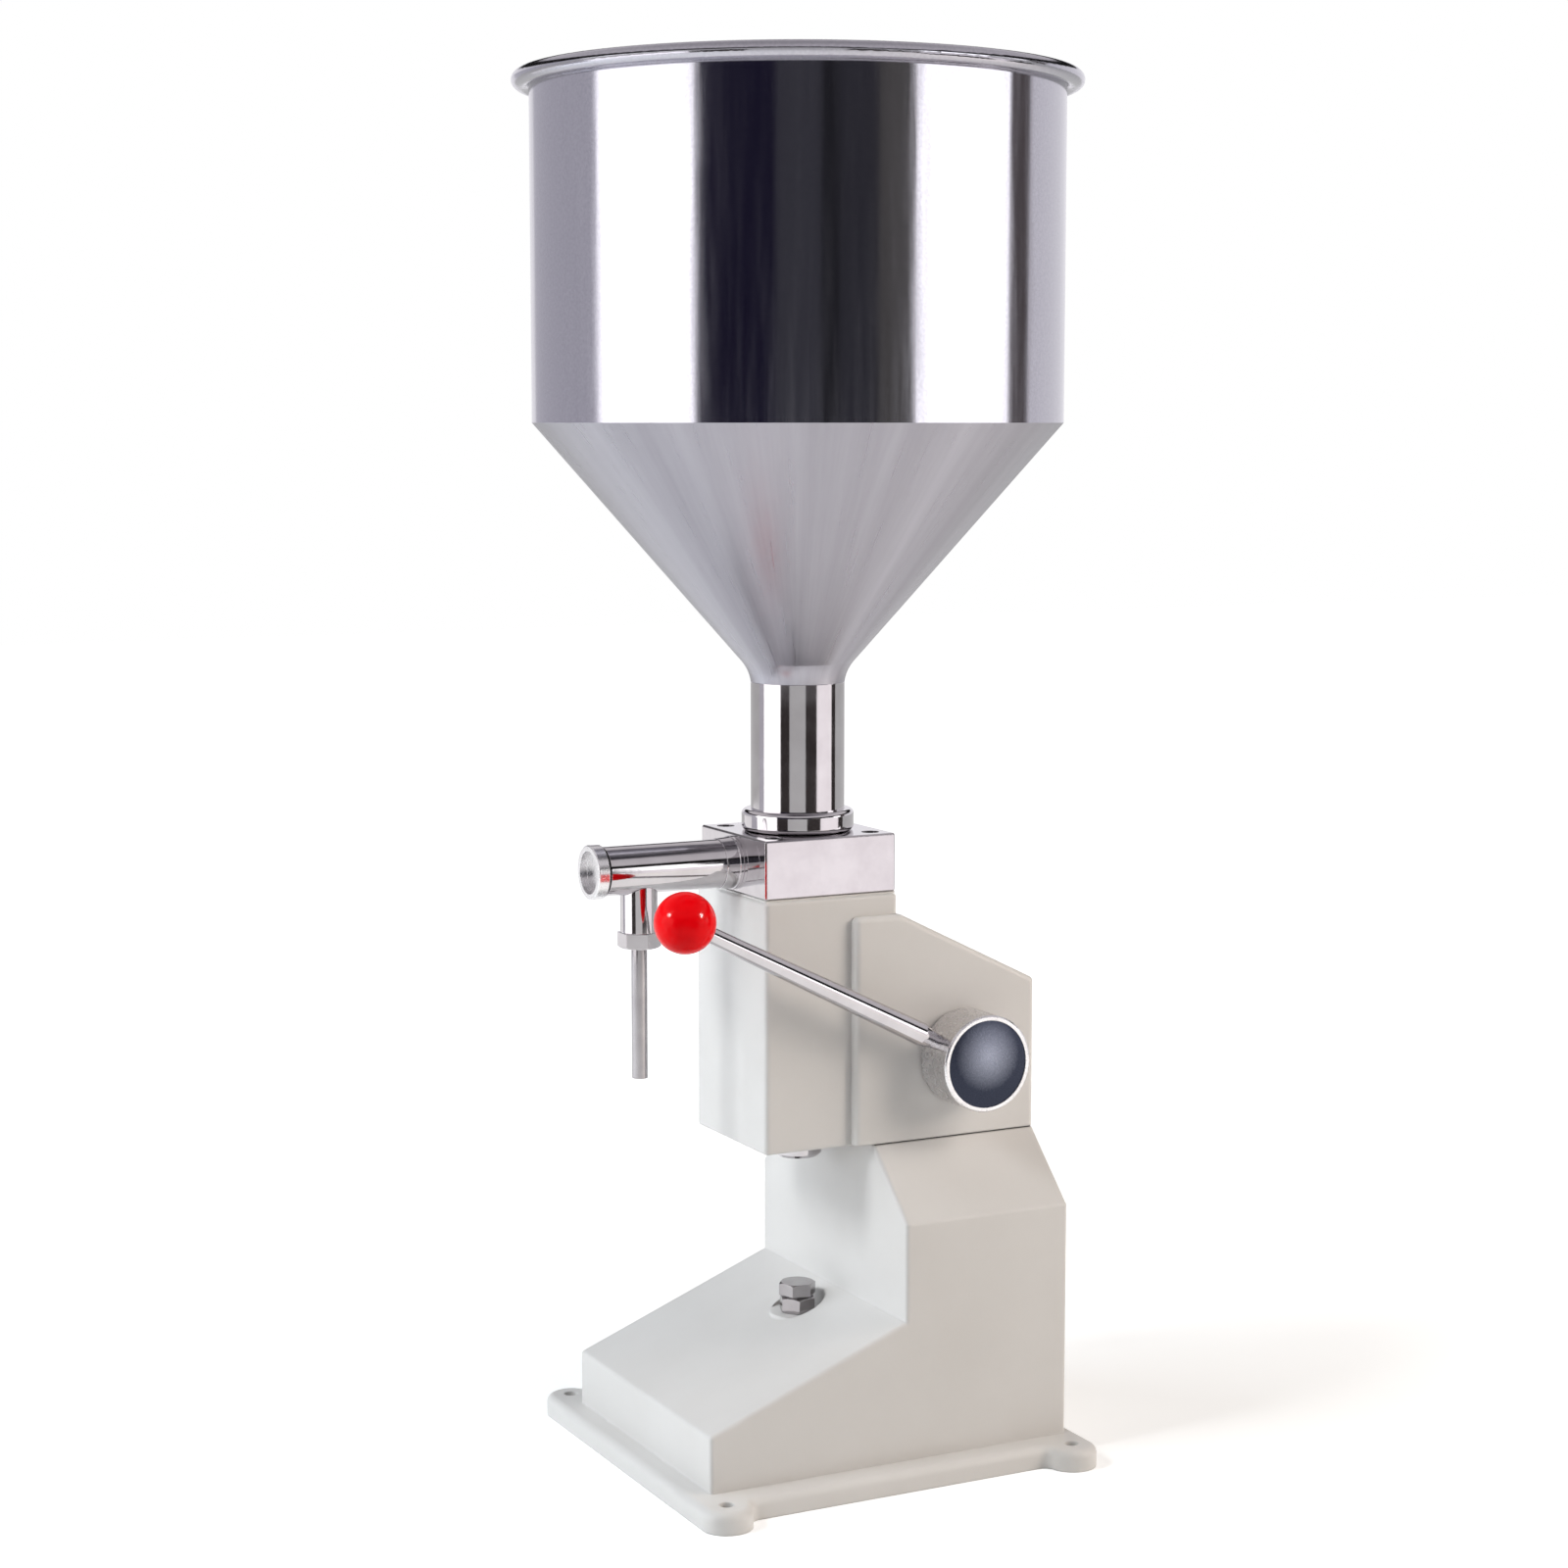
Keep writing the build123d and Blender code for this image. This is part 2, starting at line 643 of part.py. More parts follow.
# Piston rod: spigot into the piston, slot for the arm and a cross hole for its pin
with BuildPart() as piston_rod:
    with BuildSketch(piston_plane):
        Polygon(
            (0, rod_end_z),
            (rod_d / 2 - 1.5, rod_end_z),
            (rod_d / 2, rod_end_z + 1.5),
            (rod_d / 2, piston_bottom),
            (rod_spigot_d / 2, piston_bottom),
            (rod_spigot_d / 2, piston_bottom + rod_spigot_len),
            (0, piston_bottom + rod_spigot_len),
            align=None,
        )
    revolve(axis=piston_axis)
    with BuildSketch(Plane.YZ):
        with Locations((piston_y, pin_z)):
            Rectangle(rod_d + 2, 2 * slot_half_h)
    extrude(amount=arm_t / 2 + face_gap, both=True, mode=Mode.SUBTRACT)
    with BuildSketch(Plane.YZ):
        with Locations((piston_y, pin_z)):
            Circle(pin_d / 2 + seat_gap)
    extrude(amount=rod_d, both=True, mode=Mode.SUBTRACT)
    with BuildSketch(Plane.XY.offset(piston_bottom + rod_spigot_len)):
        with Locations((0, piston_y)):
            Circle(screw_d / 2 + seat_gap)
    extrude(amount=-(screw_len + 1), mode=Mode.SUBTRACT)
piston_rod.part.label = "piston_rod"
export_step(piston_rod.part, "parts/piston_rod.step")

# Screw that holds the piston on its rod
piston_screw_seat = crown_z - screw_head_h - 0.5
with BuildPart() as piston_screw:
    with BuildSketch(piston_plane):
        with Locations((0, piston_screw_seat)):
            screw_profile(screw_d, screw_head_d, screw_head_h, screw_len)
    revolve(axis=piston_axis)
    with BuildSketch(Plane.XY.offset(piston_screw_seat + screw_head_h)):
        with Locations((0, piston_y)):
            RegularPolygon(screw_socket_af / 2, 6, major_radius=False)
    extrude(amount=-screw_head_h / 2, mode=Mode.SUBTRACT)
piston_screw.part.label = "piston_screw"
export_step(piston_screw.part, "parts/piston_screw.step")

# Cross pin that the arm drives
with BuildPart() as cross_pin:
    with BuildSketch(Plane.YZ):
        with Locations((piston_y, pin_z)):
            Circle(pin_d / 2)
    extrude(amount=rod_d / 2 - 1, both=True)
    chamfer(cross_pin.edges(), 0.5)
cross_pin.part.label = "cross_pin"
export_step(cross_pin.part, "parts/cross_pin.step")

# Rocker arm: boss on the shaft, tapered blade and a slot for the cross pin
with BuildPart() as rocker_arm:
    with BuildSketch(arm_plane):
        Circle(arm_root_r)
        with Locations((arm_tip, 0)):
            Circle(arm_tip_r)
        make_hull()
    extrude(amount=arm_t / 2, both=True)
    with BuildSketch(arm_plane):
        Circle(arm_boss_r)
    extrude(amount=arm_boss_w / 2, both=True)
    with BuildSketch(arm_plane):
        Circle(shaft_d / 2 + seat_gap)
        with Locations((0, shaft_d / 2)):
            Rectangle(key_w + 2 * seat_gap, 2 * (key_rise + seat_gap))
    extrude(amount=arm_boss_w / 2, both=True, mode=Mode.SUBTRACT)
    with BuildSketch(arm_plane):
        with Locations((arm_length + (pin_reach - arm_length) / 2, 0)):
            SlotCenterToCenter(slot_travel, pin_d + 2 * face_gap)
    extrude(amount=arm_t / 2, both=True, mode=Mode.SUBTRACT)
rocker_arm.part.label = "rocker_arm"
export_step(rocker_arm.part, "parts/rocker_arm.step")

# Lever shaft with a keyway for the arm and one for the hub
hub_key_len = hub_bore_len - 4.0
with BuildPart() as lever_shaft:
    with BuildSketch(shaft_plane):
        Polygon(
            (shaft_left_x, 0),
            (shaft_left_x, shaft_d / 2 - 1),
            (shaft_left_x + 1, shaft_d / 2),
            (shaft_right_x - 1, shaft_d / 2),
            (shaft_right_x, shaft_d / 2 - 1),
            (shaft_right_x, 0),
            align=None,
        )
    revolve(axis=shaft_axis)
    with BuildSketch(arm_plane):
        with Locations((0, shaft_d / 2)):
            Rectangle(key_w + 2 * seat_gap, 2 * (key_sink + seat_gap))
    extrude(amount=arm_boss_w / 2 - 2, both=True, mode=Mode.SUBTRACT)
    with BuildSketch(arm_plane.offset(-(shaft_right_x - hub_key_len - 2))):
        with Locations((0, shaft_d / 2)):
            Rectangle(key_w + 2 * seat_gap, 2 * (key_sink + seat_gap))
    extrude(amount=-hub_key_len, mode=Mode.SUBTRACT)
lever_shaft.part.label = "lever_shaft"
export_step(lever_shaft.part, "parts/lever_shaft.step")

# Keys that lock the arm and the hub to the shaft
with BuildPart() as arm_key:
    with BuildSketch(arm_plane):
        with Locations((0, shaft_d / 2 + (key_rise - key_sink) / 2)):
            Rectangle(key_w, key_rise + key_sink)
    extrude(amount=arm_boss_w / 2 - 2 - seat_gap, both=True)
arm_key.part.label = "arm_key"
export_step(arm_key.part, "parts/arm_key.step")

with BuildPart() as hub_key:
    with BuildSketch(arm_plane.offset(-(shaft_right_x - hub_key_len - 2 + seat_gap))):
        with Locations((0, shaft_d / 2 + (key_rise - key_sink) / 2)):
            Rectangle(key_w, key_rise + key_sink)
    extrude(amount=-(hub_key_len - 2 * seat_gap))
hub_key.part.label = "hub_key"
export_step(hub_key.part, "parts/hub_key.step")

# Bushes in the two walls of the housing
with BuildPart() as shaft_bush_right:
    with BuildSketch(shaft_end_plane.offset(boss_in_x)):
        Circle(bush_d / 2 - seat_gap)
        Circle(shaft_d / 2 + slide_gap, mode=Mode.SUBTRACT)
    extrude(amount=bush_len)
shaft_bush_right.part.label = "shaft_bush_right"
export_step(shaft_bush_right.part, "parts/shaft_bush_right.step")

with BuildPart() as shaft_bush_left:
    with BuildSketch(shaft_end_plane.offset(-boss_in_x)):
        Circle(bush_d / 2 - seat_gap)
        Circle(shaft_d / 2 + slide_gap, mode=Mode.SUBTRACT)
    extrude(amount=-(bush_len - housing_wall))
shaft_bush_left.part.label = "shaft_bush_left"
export_step(shaft_bush_left.part, "parts/shaft_bush_left.step")

# Sleeves that centre the arm between the bushes
sleeve_len = boss_in_x - arm_boss_w / 2 - face_gap
with BuildPart() as shaft_sleeves:
    for side in (-1, 1):
        with BuildSketch(shaft_end_plane.offset(side * arm_boss_w / 2)):
            Circle(bush_d / 2)
            Circle(shaft_d / 2 + seat_gap, mode=Mode.SUBTRACT)
        extrude(amount=side * sleeve_len)
shaft_sleeves.part.label = "shaft_sleeves"
export_step(shaft_sleeves.part, "parts/shaft_sleeves.step")

# Hub: turned cylinder with a recess for its polished cap
with BuildPart() as lever_hub:
    with BuildSketch(shaft_plane):
        Polygon(
            (hub_back_x, 0),
            (hub_back_x, hub_d / 2 - 1),
            (hub_back_x + 1, hub_d / 2),
            (hub_face_x - 0.8, hub_d / 2),
            (hub_face_x, hub_d / 2 - 0.8),
            (hub_face_x, hub_d / 2 - hub_rim),
            (hub_face_x - hub_cap_sink, hub_d / 2 - hub_rim),
            (hub_face_x - hub_cap_sink, 0),
            align=None,
        )
    revolve(axis=shaft_axis)
    with BuildSketch(shaft_end_plane.offset(hub_back_x)):
        Circle(shaft_d / 2 + seat_gap)
    extrude(amount=hub_bore_len, mode=Mode.SUBTRACT)
    with BuildSketch(arm_plane.offset(-hub_back_x)):
        with Locations((0, shaft_d / 2)):
            Rectangle(key_w + 2 * seat_gap, 2 * (key_rise + seat_gap))
    extrude(amount=-hub_bore_len, mode=Mode.SUBTRACT)
    with BuildSketch(lever_root_plane.offset(hub_d / 2 - lever_thread_len)):
        Circle(lever_thread_d / 2 + seat_gap)
    extrude(amount=lever_thread_len + 1, mode=Mode.SUBTRACT)
    with BuildSketch(grub_plane):
        Circle(screw_d / 2 + seat_gap)
    extrude(amount=hub_d / 2 + 1, mode=Mode.SUBTRACT)
lever_hub.part.label = "lever_hub"
export_step(lever_hub.part, "parts/lever_hub.step")

# Crowned cap in the hub's end
cap_r = hub_d / 2 - hub_rim - seat_gap
cap_edge_x = hub_face_x - 0.4
crown_rise = hub_cap_crown + 0.4
crown_r = (cap_r**2 + crown_rise**2) / (2 * crown_rise)
with BuildPart() as hub_cap:
    with BuildSketch(shaft_end_plane.offset(hub_face_x - hub_cap_sink)):
        Circle(cap_r)
    extrude(amount=hub_cap_sink + hub_cap_crown + 1)
    with Locations((cap_edge_x + crown_rise - crown_r, shaft_y, shaft_z)):
        Sphere(crown_r, mode=Mode.INTERSECT)
hub_cap.part.label = "hub_cap"
export_step(hub_cap.part, "parts/hub_cap.step")

# Grub screw that grips the shaft from under the hub
with BuildPart() as hub_grub_screw:
    with BuildSketch(grub_plane.offset(shaft_d / 2 + seat_gap)):
        Circle(screw_d / 2)
    extrude(amount=hub_d / 2 - shaft_d / 2 - 3)
    with BuildSketch(grub_plane.offset(hub_d / 2 - 3 + seat_gap)):
        RegularPolygon(screw_socket_af / 4, 6, major_radius=False)
    extrude(amount=-3, mode=Mode.SUBTRACT)
hub_grub_screw.part.label = "hub_grub_screw"
export_step(hub_grub_screw.part, "parts/hub_grub_screw.step")

# Lever: threaded root, short cone, long taper and a threaded tip inside the knob
knob_stem = lever_len - knob_d / 2 + knob_flat
with BuildPart() as lever_rod:
    with BuildSketch(lever_plane):
        Polygon(
            (hub_d / 2 - lever_thread_len, 0),
            (hub_d / 2 - lever_thread_len, lever_thread_d / 2),
            (hub_d / 2 + 1, lever_thread_d / 2),
            (hub_d / 2 + lever_cone_len, lever_root_d / 2),
            (knob_stem, lever_tip_d / 2),
            (knob_stem, knob_thread_d / 2),
            (knob_stem + knob_thread_len, knob_thread_d / 2),
            (knob_stem + knob_thread_len, 0),
            align=None,
        )
    revolve(axis=lever_axis)
lever_rod.part.label = "lever_rod"
export_step(lever_rod.part, "parts/lever_rod.step")

# Ball knob with a small flat where the lever enters
with BuildPart() as ball_knob:
    with BuildSketch(lever_plane):
        with Locations((lever_len, 0)):
            Circle(knob_d / 2)
        with Locations((lever_len, -knob_d)):
            Rectangle(2 * knob_d, 2 * knob_d, mode=Mode.SUBTRACT)
        with Locations((knob_stem - knob_d / 2, 0)):
            Rectangle(knob_d, knob_d, mode=Mode.SUBTRACT)
        with Locations((knob_stem, 0)):
            Rectangle(2 * (knob_thread_len + 1), knob_thread_d + 2 * seat_gap, mode=Mode.SUBTRACT)
    revolve(axis=lever_axis)
ball_knob.part.label = "ball_knob"
export_step(ball_knob.part, "parts/ball_knob.step")

# Gasket between the column and the valve block
with BuildPart() as block_gasket:
    with BuildSketch(Plane.XY.offset(column_top)):
        with Locations((0, piston_y)):
            RectangleRounded(block_w, block_w, block_edge)
            Circle(spider_d / 2 + 1, mode=Mode.SUBTRACT)
            with GridLocations(block_screw_pitch, block_screw_pitch, 2, 2):
                Circle(block_screw_d / 2 + face_gap, mode=Mode.SUBTRACT)
    extrude(amount=gasket_t)
block_gasket.part.label = "block_gasket"
export_step(block_gasket.part, "parts/block_gasket.step")

# Valve block: chamber over the cylinder, seat bore above it and the outlet port in front
seat_shoulder = block_top - inlet_seat_h - 1
with BuildPart() as valve_block:
    with BuildSketch(Plane.XY.offset(block_bottom)):
        with Locations((0, piston_y)):
            Rectangle(block_w, block_w)
    extrude(amount=block_h)
    chamfer(valve_block.edges(), block_edge * 0.8)
    with BuildSketch(Plane.XY.offset(block_bottom)):
        with Locations((0, piston_y)):
            Circle(chamber_d / 2)
    extrude(amount=block_h, mode=Mode.SUBTRACT)
    with BuildSketch(Plane.XY.offset(seat_shoulder)):
        with Locations((0, piston_y)):
            Circle(inlet_seat_d / 2)
    extrude(amount=block_top - seat_shoulder, mode=Mode.SUBTRACT)
    with BuildSketch(Plane.XY.offset(block_bottom)):
        with Locations((0, piston_y)):
            Circle(spider_d / 2 + seat_gap)
    extrude(amount=spider_t - gasket_t, mode=Mode.SUBTRACT)
    with BuildSketch(port_plane):
        Circle(port_d / 2)
    extrude(amount=-block_w / 2, mode=Mode.SUBTRACT)
    with BuildSketch(port_plane):
        Circle(pipe_spigot_d / 2 + seat_gap)
    extrude(amount=-pipe_spigot_len, mode=Mode.SUBTRACT)
    with BuildSketch(Plane.XY.offset(block_bottom)):
        with Locations((0, piston_y)):
            with GridLocations(block_screw_pitch, block_screw_pitch, 2, 2):
                Circle(block_screw_d / 2 + seat_gap)
    extrude(amount=block_h, mode=Mode.SUBTRACT)
    with BuildSketch(Plane.XY.offset(block_top)):
        with Locations((0, piston_y)):
            with GridLocations(block_screw_pitch, block_screw_pitch, 2, 2):
                Circle(block_screw_head_d / 2 + face_gap)
    extrude(amount=-(block_screw_head_h + block_screw_sink), mode=Mode.SUBTRACT)
valve_block.part.label = "valve_block"
export_step(valve_block.part, "parts/valve_block.step")

# Screws that clamp the block and the liner to the column
block_screw_seat = block_top - block_screw_sink - block_screw_head_h
with BuildPart() as block_screws:
    for sx in (-1, 1):
        for sy in (-1, 1):
            screw_at = (sx * block_screw_pitch / 2, piston_y + sy * block_screw_pitch / 2, block_screw_seat)
            with BuildSketch(Plane(origin=screw_at, x_dir=(1, 0, 0), z_dir=(0, -1, 0))):
                screw_profile(
                    block_screw_d,
                    block_screw_head_d,
                    block_screw_head_h,
                    block_screw_seat - column_top + block_screw_grip - 1,
                )
            revolve(axis=Axis(screw_at, (0, 0, 1)))
            with BuildSketch(Plane(origin=screw_at).offset(block_screw_head_h)):
                RegularPolygon(2.0, 6, major_radius=False)
            extrude(amount=-block_screw_head_h / 2, mode=Mode.SUBTRACT)
block_screws.part.label = "block_screws"
export_step(block_screws.part, "parts/block_screws.step")

# Inlet seat ring: the throat under the hopper, flared below for the valve's cone
seat_bottom = seat_shoulder
throat_z = seat_bottom + inlet_cone_h
with BuildPart() as inlet_seat:
    with BuildSketch(piston_plane):
        Polygon(
            (inlet_head_d / 2 + face_gap, seat_bottom),
            (inlet_seat_d / 2 - seat_gap, seat_bottom),
            (inlet_seat_d / 2 - seat_gap, seat_bottom + inlet_seat_h),
            (inlet_throat_d / 2 + 1, seat_bottom + inlet_seat_h),
            (inlet_throat_d / 2, seat_bottom + inlet_seat_h - 1),
            (inlet_throat_d / 2, throat_z),
            align=None,
        )
    revolve(axis=piston_axis)
inlet_seat.part.label = "inlet_seat"
export_step(inlet_seat.part, "parts/inlet_seat.step")

# Inlet valve: cone head that shuts upwards, and a stem through the spider
head_top = throat_z - face_gap
head_bottom = seat_bottom - inlet_head_h
stem_bottom = crown_z + inlet_lift + face_gap
with BuildPart() as inlet_valve:
    with BuildSketch(piston_plane):
        Polygon(
            (0, stem_bottom),
            (inlet_stem_d / 2, stem_bottom),
            (inlet_stem_d / 2, head_bottom),
            (inlet_head_d / 2, head_bottom),
            (inlet_head_d / 2, seat_bottom - face_gap),
            (inlet_throat_d / 2, head_top),
            (0, head_top),
            align=None,
        )
    revolve(axis=piston_axis)
inlet_valve.part.label = "inlet_valve"
export_step(inlet_valve.part, "parts/inlet_valve.step")

# Spider: rim, three arms and a hub that guides the stem and seats the spring
spider_top = column_top + spider_t
with BuildPart() as valve_spider:
    with BuildSketch(Plane.XY.offset(column_top)):
        with Locations((0, piston_y)):
            Circle(spider_d / 2)
            Circle(chamber_d / 2 - 1.5, mode=Mode.SUBTRACT)
            Circle(inlet_spring_d / 2 + 1)
            with PolarLocations(chamber_d / 4, 3, 90):
                Rectangle(chamber_d / 2, spider_arm_w)
            Circle(inlet_stem_d / 2 + slide_gap, mode=Mode.SUBTRACT)
    extrude(amount=spider_t)
    with BuildSketch(Plane.XY.offset(spider_top)):
        with Locations((0, piston_y)):
            Circle(spider_hub_d / 2)
            Circle(inlet_stem_d / 2 + slide_gap, mode=Mode.SUBTRACT)
    extrude(amount=spider_hub_h)
valve_spider.part.label = "valve_spider"
export_step(valve_spider.part, "parts/valve_spider.step")

# Inlet spring around the spider's hub
inlet_spring_base = spider_top + inlet_wire_d / 2 + seat_gap
inlet_spring_h = head_bottom - spider_top - inlet_wire_d - 2 * seat_gap
with BuildPart() as inlet_spring:
    with BuildLine(Plane(origin=(0, piston_y, inlet_spring_base))) as inlet_coil:
        Helix(pitch=inlet_spring_h / inlet_turns, height=inlet_spring_h, radius=inlet_spring_d / 2)
    with BuildSketch(Plane(origin=inlet_coil.line @ 0, z_dir=inlet_coil.line % 0)):
        Circle(inlet_wire_d / 2)
    sweep(is_frenet=True)
inlet_spring.part.label = "inlet_spring"
export_step(inlet_spring.part, "parts/inlet_spring.step")

# Collar on the block that takes the hopper's neck, grooved for a sealing ring
neck_ring_z = block_top + neck_ring_h
neck_ring_r = neck_r + seat_gap + neck_ring_d / 2
with BuildPart() as neck_collar:
    with BuildSketch(Plane.XY.offset(block_top)):
        with Locations((0, piston_y)):
            Circle(collar_d / 2)
    extrude(amount=collar_h)
    fillet(neck_collar.edges(), collar_edge_r)
    with BuildSketch(Plane.XY.offset(block_top)):
        with Locations((0, piston_y)):
            Circle(neck_r + 2 * seat_gap)
    extrude(amount=collar_h, mode=Mode.SUBTRACT)
    with BuildSketch(piston_plane):
        with Locations((neck_ring_r, neck_ring_z)):
            Rectangle(neck_ring_d + 0.2, neck_ring_d + 0.2)
    revolve(axis=piston_axis, mode=Mode.SUBTRACT)
neck_collar.part.label = "neck_collar"
export_step(neck_collar.part, "parts/neck_collar.step")

# Sealing ring in the collar
with BuildPart() as neck_seal:
    with BuildSketch(piston_plane):
        with Locations((neck_ring_r, neck_ring_z)):
            Circle(neck_ring_d / 2)
    revolve(axis=piston_axis)
neck_seal.part.label = "neck_seal"
export_step(neck_seal.part, "parts/neck_seal.step")

# Hopper neck tube, standing on the block inside the collar
with BuildPart() as hopper_neck:
    with BuildSketch(Plane.XY.offset(block_top)):
        with Locations((0, piston_y)):
            Circle(neck_r)
            Circle(neck_r - hopper_wall, mode=Mode.SUBTRACT)
    extrude(amount=neck_h)
hopper_neck.part.label = "hopper_neck"
export_step(hopper_neck.part, "parts/hopper_neck.step")

# Hopper cone, drawn in to the neck with a short throat
hopper_r = hopper_d / 2
throat_bend = (cone_throat_r + neck_r) / 2 - 0.8
with BuildPart() as hopper_cone:
    with BuildSketch(piston_plane):
        with BuildLine():
            inner_top = (hopper_r - hopper_wall, cylinder_base_z)
            inner_throat = (cone_throat_r - hopper_wall * 1.3, cone_base_z + cone_throat_h)
            inner_foot = (neck_r - hopper_wall, cone_base_z)
            outer_foot = (neck_r, cone_base_z)
            outer_throat = (cone_throat_r, cone_base_z + cone_throat_h)
            outer_top = (hopper_r, cylinder_base_z)
            Polyline(inner_throat, inner_top, outer_top, outer_throat)
            ThreePointArc(outer_throat, (throat_bend, cone_base_z + cone_throat_h / 2), outer_foot)
            Line(outer_foot, inner_foot)
            inner_bend = (throat_bend - hopper_wall * 1.15, cone_base_z + cone_throat_h / 2)
            ThreePointArc(inner_foot, inner_bend, inner_throat)
        make_face()
    revolve(axis=piston_axis)
hopper_cone.part.label = "hopper_cone"
export_step(hopper_cone.part, "parts/hopper_cone.step")

# Hopper cylinder with its outward rolled rim
with BuildPart() as hopper_cylinder:
    with BuildSketch(piston_plane):
        with Locations((hopper_r - hopper_wall / 2, (cylinder_base_z + rim_z) / 2)):
            Rectangle(hopper_wall, rim_z - cylinder_base_z)
        with Locations((hopper_r - hopper_wall + rim_w / 2, rim_z)):
            Ellipse(rim_w / 2, rim_h / 2)
    revolve(axis=piston_axis)
hopper_cylinder.part.label = "hopper_cylinder"
export_step(hopper_cylinder.part, "parts/hopper_cylinder.step")

# Discharge pipe: spigot in the block, shoulder for the outlet seat, hole over the nozzle
with BuildPart() as discharge_pipe:
    with BuildSketch(pipe_plane):
        Polygon(
            (-pipe_spigot_len, port_d / 2),
            (-pipe_spigot_len, pipe_spigot_d / 2),
            (0, pipe_spigot_d / 2),
            (0, pipe_d / 2),
            (pipe_len, pipe_d / 2),
            (pipe_len, pipe_bore / 2),
            (pipe_shoulder, pipe_bore / 2),
            (pipe_shoulder, port_d / 2),
            align=None,
        )
    revolve(axis=pipe_axis)
    with BuildSketch(Plane.XY.offset(pipe_z)):
        with Locations((0, nozzle_y)):
            Circle(nozzle_tube_d / 2 + 0.5)
    extrude(amount=-pipe_d, mode=Mode.SUBTRACT)
discharge_pipe.part.label = "discharge_pipe"
export_step(discharge_pipe.part, "parts/discharge_pipe.step")

# Lock ring that tightens the pipe against the block
with BuildPart() as pipe_lock_ring:
    with BuildSketch(pipe_plane):
        Polygon(
            (0, pipe_d / 2 + seat_gap),
            (0, lock_ring_d / 2),
            (lock_ring_rim, lock_ring_d / 2),
            (lock_ring_rim, lock_ring_d / 2 - 0.5),
            (lock_ring_len, pipe_d / 2 + 0.4),
            (lock_ring_len, pipe_d / 2 + seat_gap),
            align=None,
        )
    revolve(axis=pipe_axis)
pipe_lock_ring.part.label = "pipe_lock_ring"
export_step(pipe_lock_ring.part, "parts/pipe_lock_ring.step")

# Outlet seat ring
outlet_face = pipe_shoulder + outlet_seat_len
with BuildPart() as outlet_seat:
    with BuildSketch(pipe_plane):
        Polygon(
            (pipe_shoulder, outlet_throat_d / 2),
            (pipe_shoulder, pipe_bore / 2 - seat_gap),
            (outlet_face, pipe_bore / 2 - seat_gap),
            (outlet_face, outlet_throat_d / 2 + 1),
            (outlet_face - 1, outlet_throat_d / 2),
            align=None,
        )
    revolve(axis=pipe_axis)
outlet_seat.part.label = "outlet_seat"
export_step(outlet_seat.part, "parts/outlet_seat.step")

# Outlet valve: disc that shuts against the seat, and a stem into the cap
outlet_back = outlet_face + face_gap + outlet_head_t
with BuildPart() as outlet_valve:
    with BuildSketch(pipe_plane):
        Polygon(
            (outlet_face + face_gap, 0),
            (outlet_face + face_gap, outlet_head_d / 2 - 0.5),
            (outlet_face + face_gap + 0.5, outlet_head_d / 2),
            (outlet_back, outlet_head_d / 2),
            (outlet_back, outlet_stem_d / 2),
            (outlet_back + outlet_stem_len, outlet_stem_d / 2),
            (outlet_back + outlet_stem_len, 0),
            align=None,
        )
    revolve(axis=pipe_axis)
outlet_valve.part.label = "outlet_valve"
export_step(outlet_valve.part, "parts/outlet_valve.step")

# End cap: guide nose, spigot, grooved neck and a flange with a recessed face
cap_face = pipe_len + cap_groove_len + cap_flange_len
cap_nose = pipe_len - cap_spigot_len - cap_nose_len
guide_depth = outlet_back + outlet_stem_len + outlet_lift + 1
with BuildPart() as pipe_end_cap:
    with BuildSketch(pipe_plane):
        Polygon(
            (cap_nose, outlet_stem_d / 2 + slide_gap),
            (cap_nose, cap_nose_d / 2),
            (pipe_len - cap_spigot_len, cap_nose_d / 2),
            (pipe_len - cap_spigot_len, pipe_bore / 2 - seat_gap),
            (pipe_len, pipe_bore / 2 - seat_gap),
            (pipe_len, cap_recess_d / 2 - 0.2),
            (pipe_len + cap_groove_len, cap_recess_d / 2 - 0.2),
            (pipe_len + cap_groove_len, cap_d / 2),
            (cap_face - 0.5, cap_d / 2),
            (cap_face, cap_d / 2 - 0.5),
            (cap_face, cap_recess_d / 2),
            (cap_face - cap_recess_depth, cap_recess_d / 2),
            (cap_face - cap_recess_depth, 0),
            (guide_depth, 0),
            (guide_depth, outlet_stem_d / 2 + slide_gap),
            align=None,
        )
    revolve(axis=pipe_axis)
pipe_end_cap.part.label = "pipe_end_cap"
export_step(pipe_end_cap.part, "parts/pipe_end_cap.step")

# Sealing ring in the cap's groove
with BuildPart() as cap_seal:
    with BuildSketch(pipe_plane):
        with Locations((pipe_len + cap_groove_len / 2, cap_recess_d / 2 - 0.2 + cap_ring_d / 2 + seat_gap)):
            Circle(cap_ring_d / 2)
    revolve(axis=pipe_axis)
cap_seal.part.label = "cap_seal"
export_step(cap_seal.part, "parts/cap_seal.step")

# Outlet spring between the valve's disc and the cap's nose
outlet_spring_start = outlet_back + outlet_wire_d / 2 + seat_gap
outlet_spring_len = cap_nose - outlet_back - outlet_wire_d - 2 * seat_gap
with BuildPart() as outlet_spring:
    with BuildLine() as outlet_coil:
        Helix(
            pitch=outlet_spring_len / outlet_turns,
            height=outlet_spring_len,
            radius=outlet_spring_d / 2,
            center=(0, block_front_y - outlet_spring_start, pipe_z),
            direction=(0, -1, 0),
        )
    with BuildSketch(Plane(origin=outlet_coil.line @ 0, z_dir=outlet_coil.line % 0)):
        Circle(outlet_wire_d / 2)
    sweep(is_frenet=True)
outlet_spring.part.label = "outlet_spring"
export_step(outlet_spring.part, "parts/outlet_spring.step")

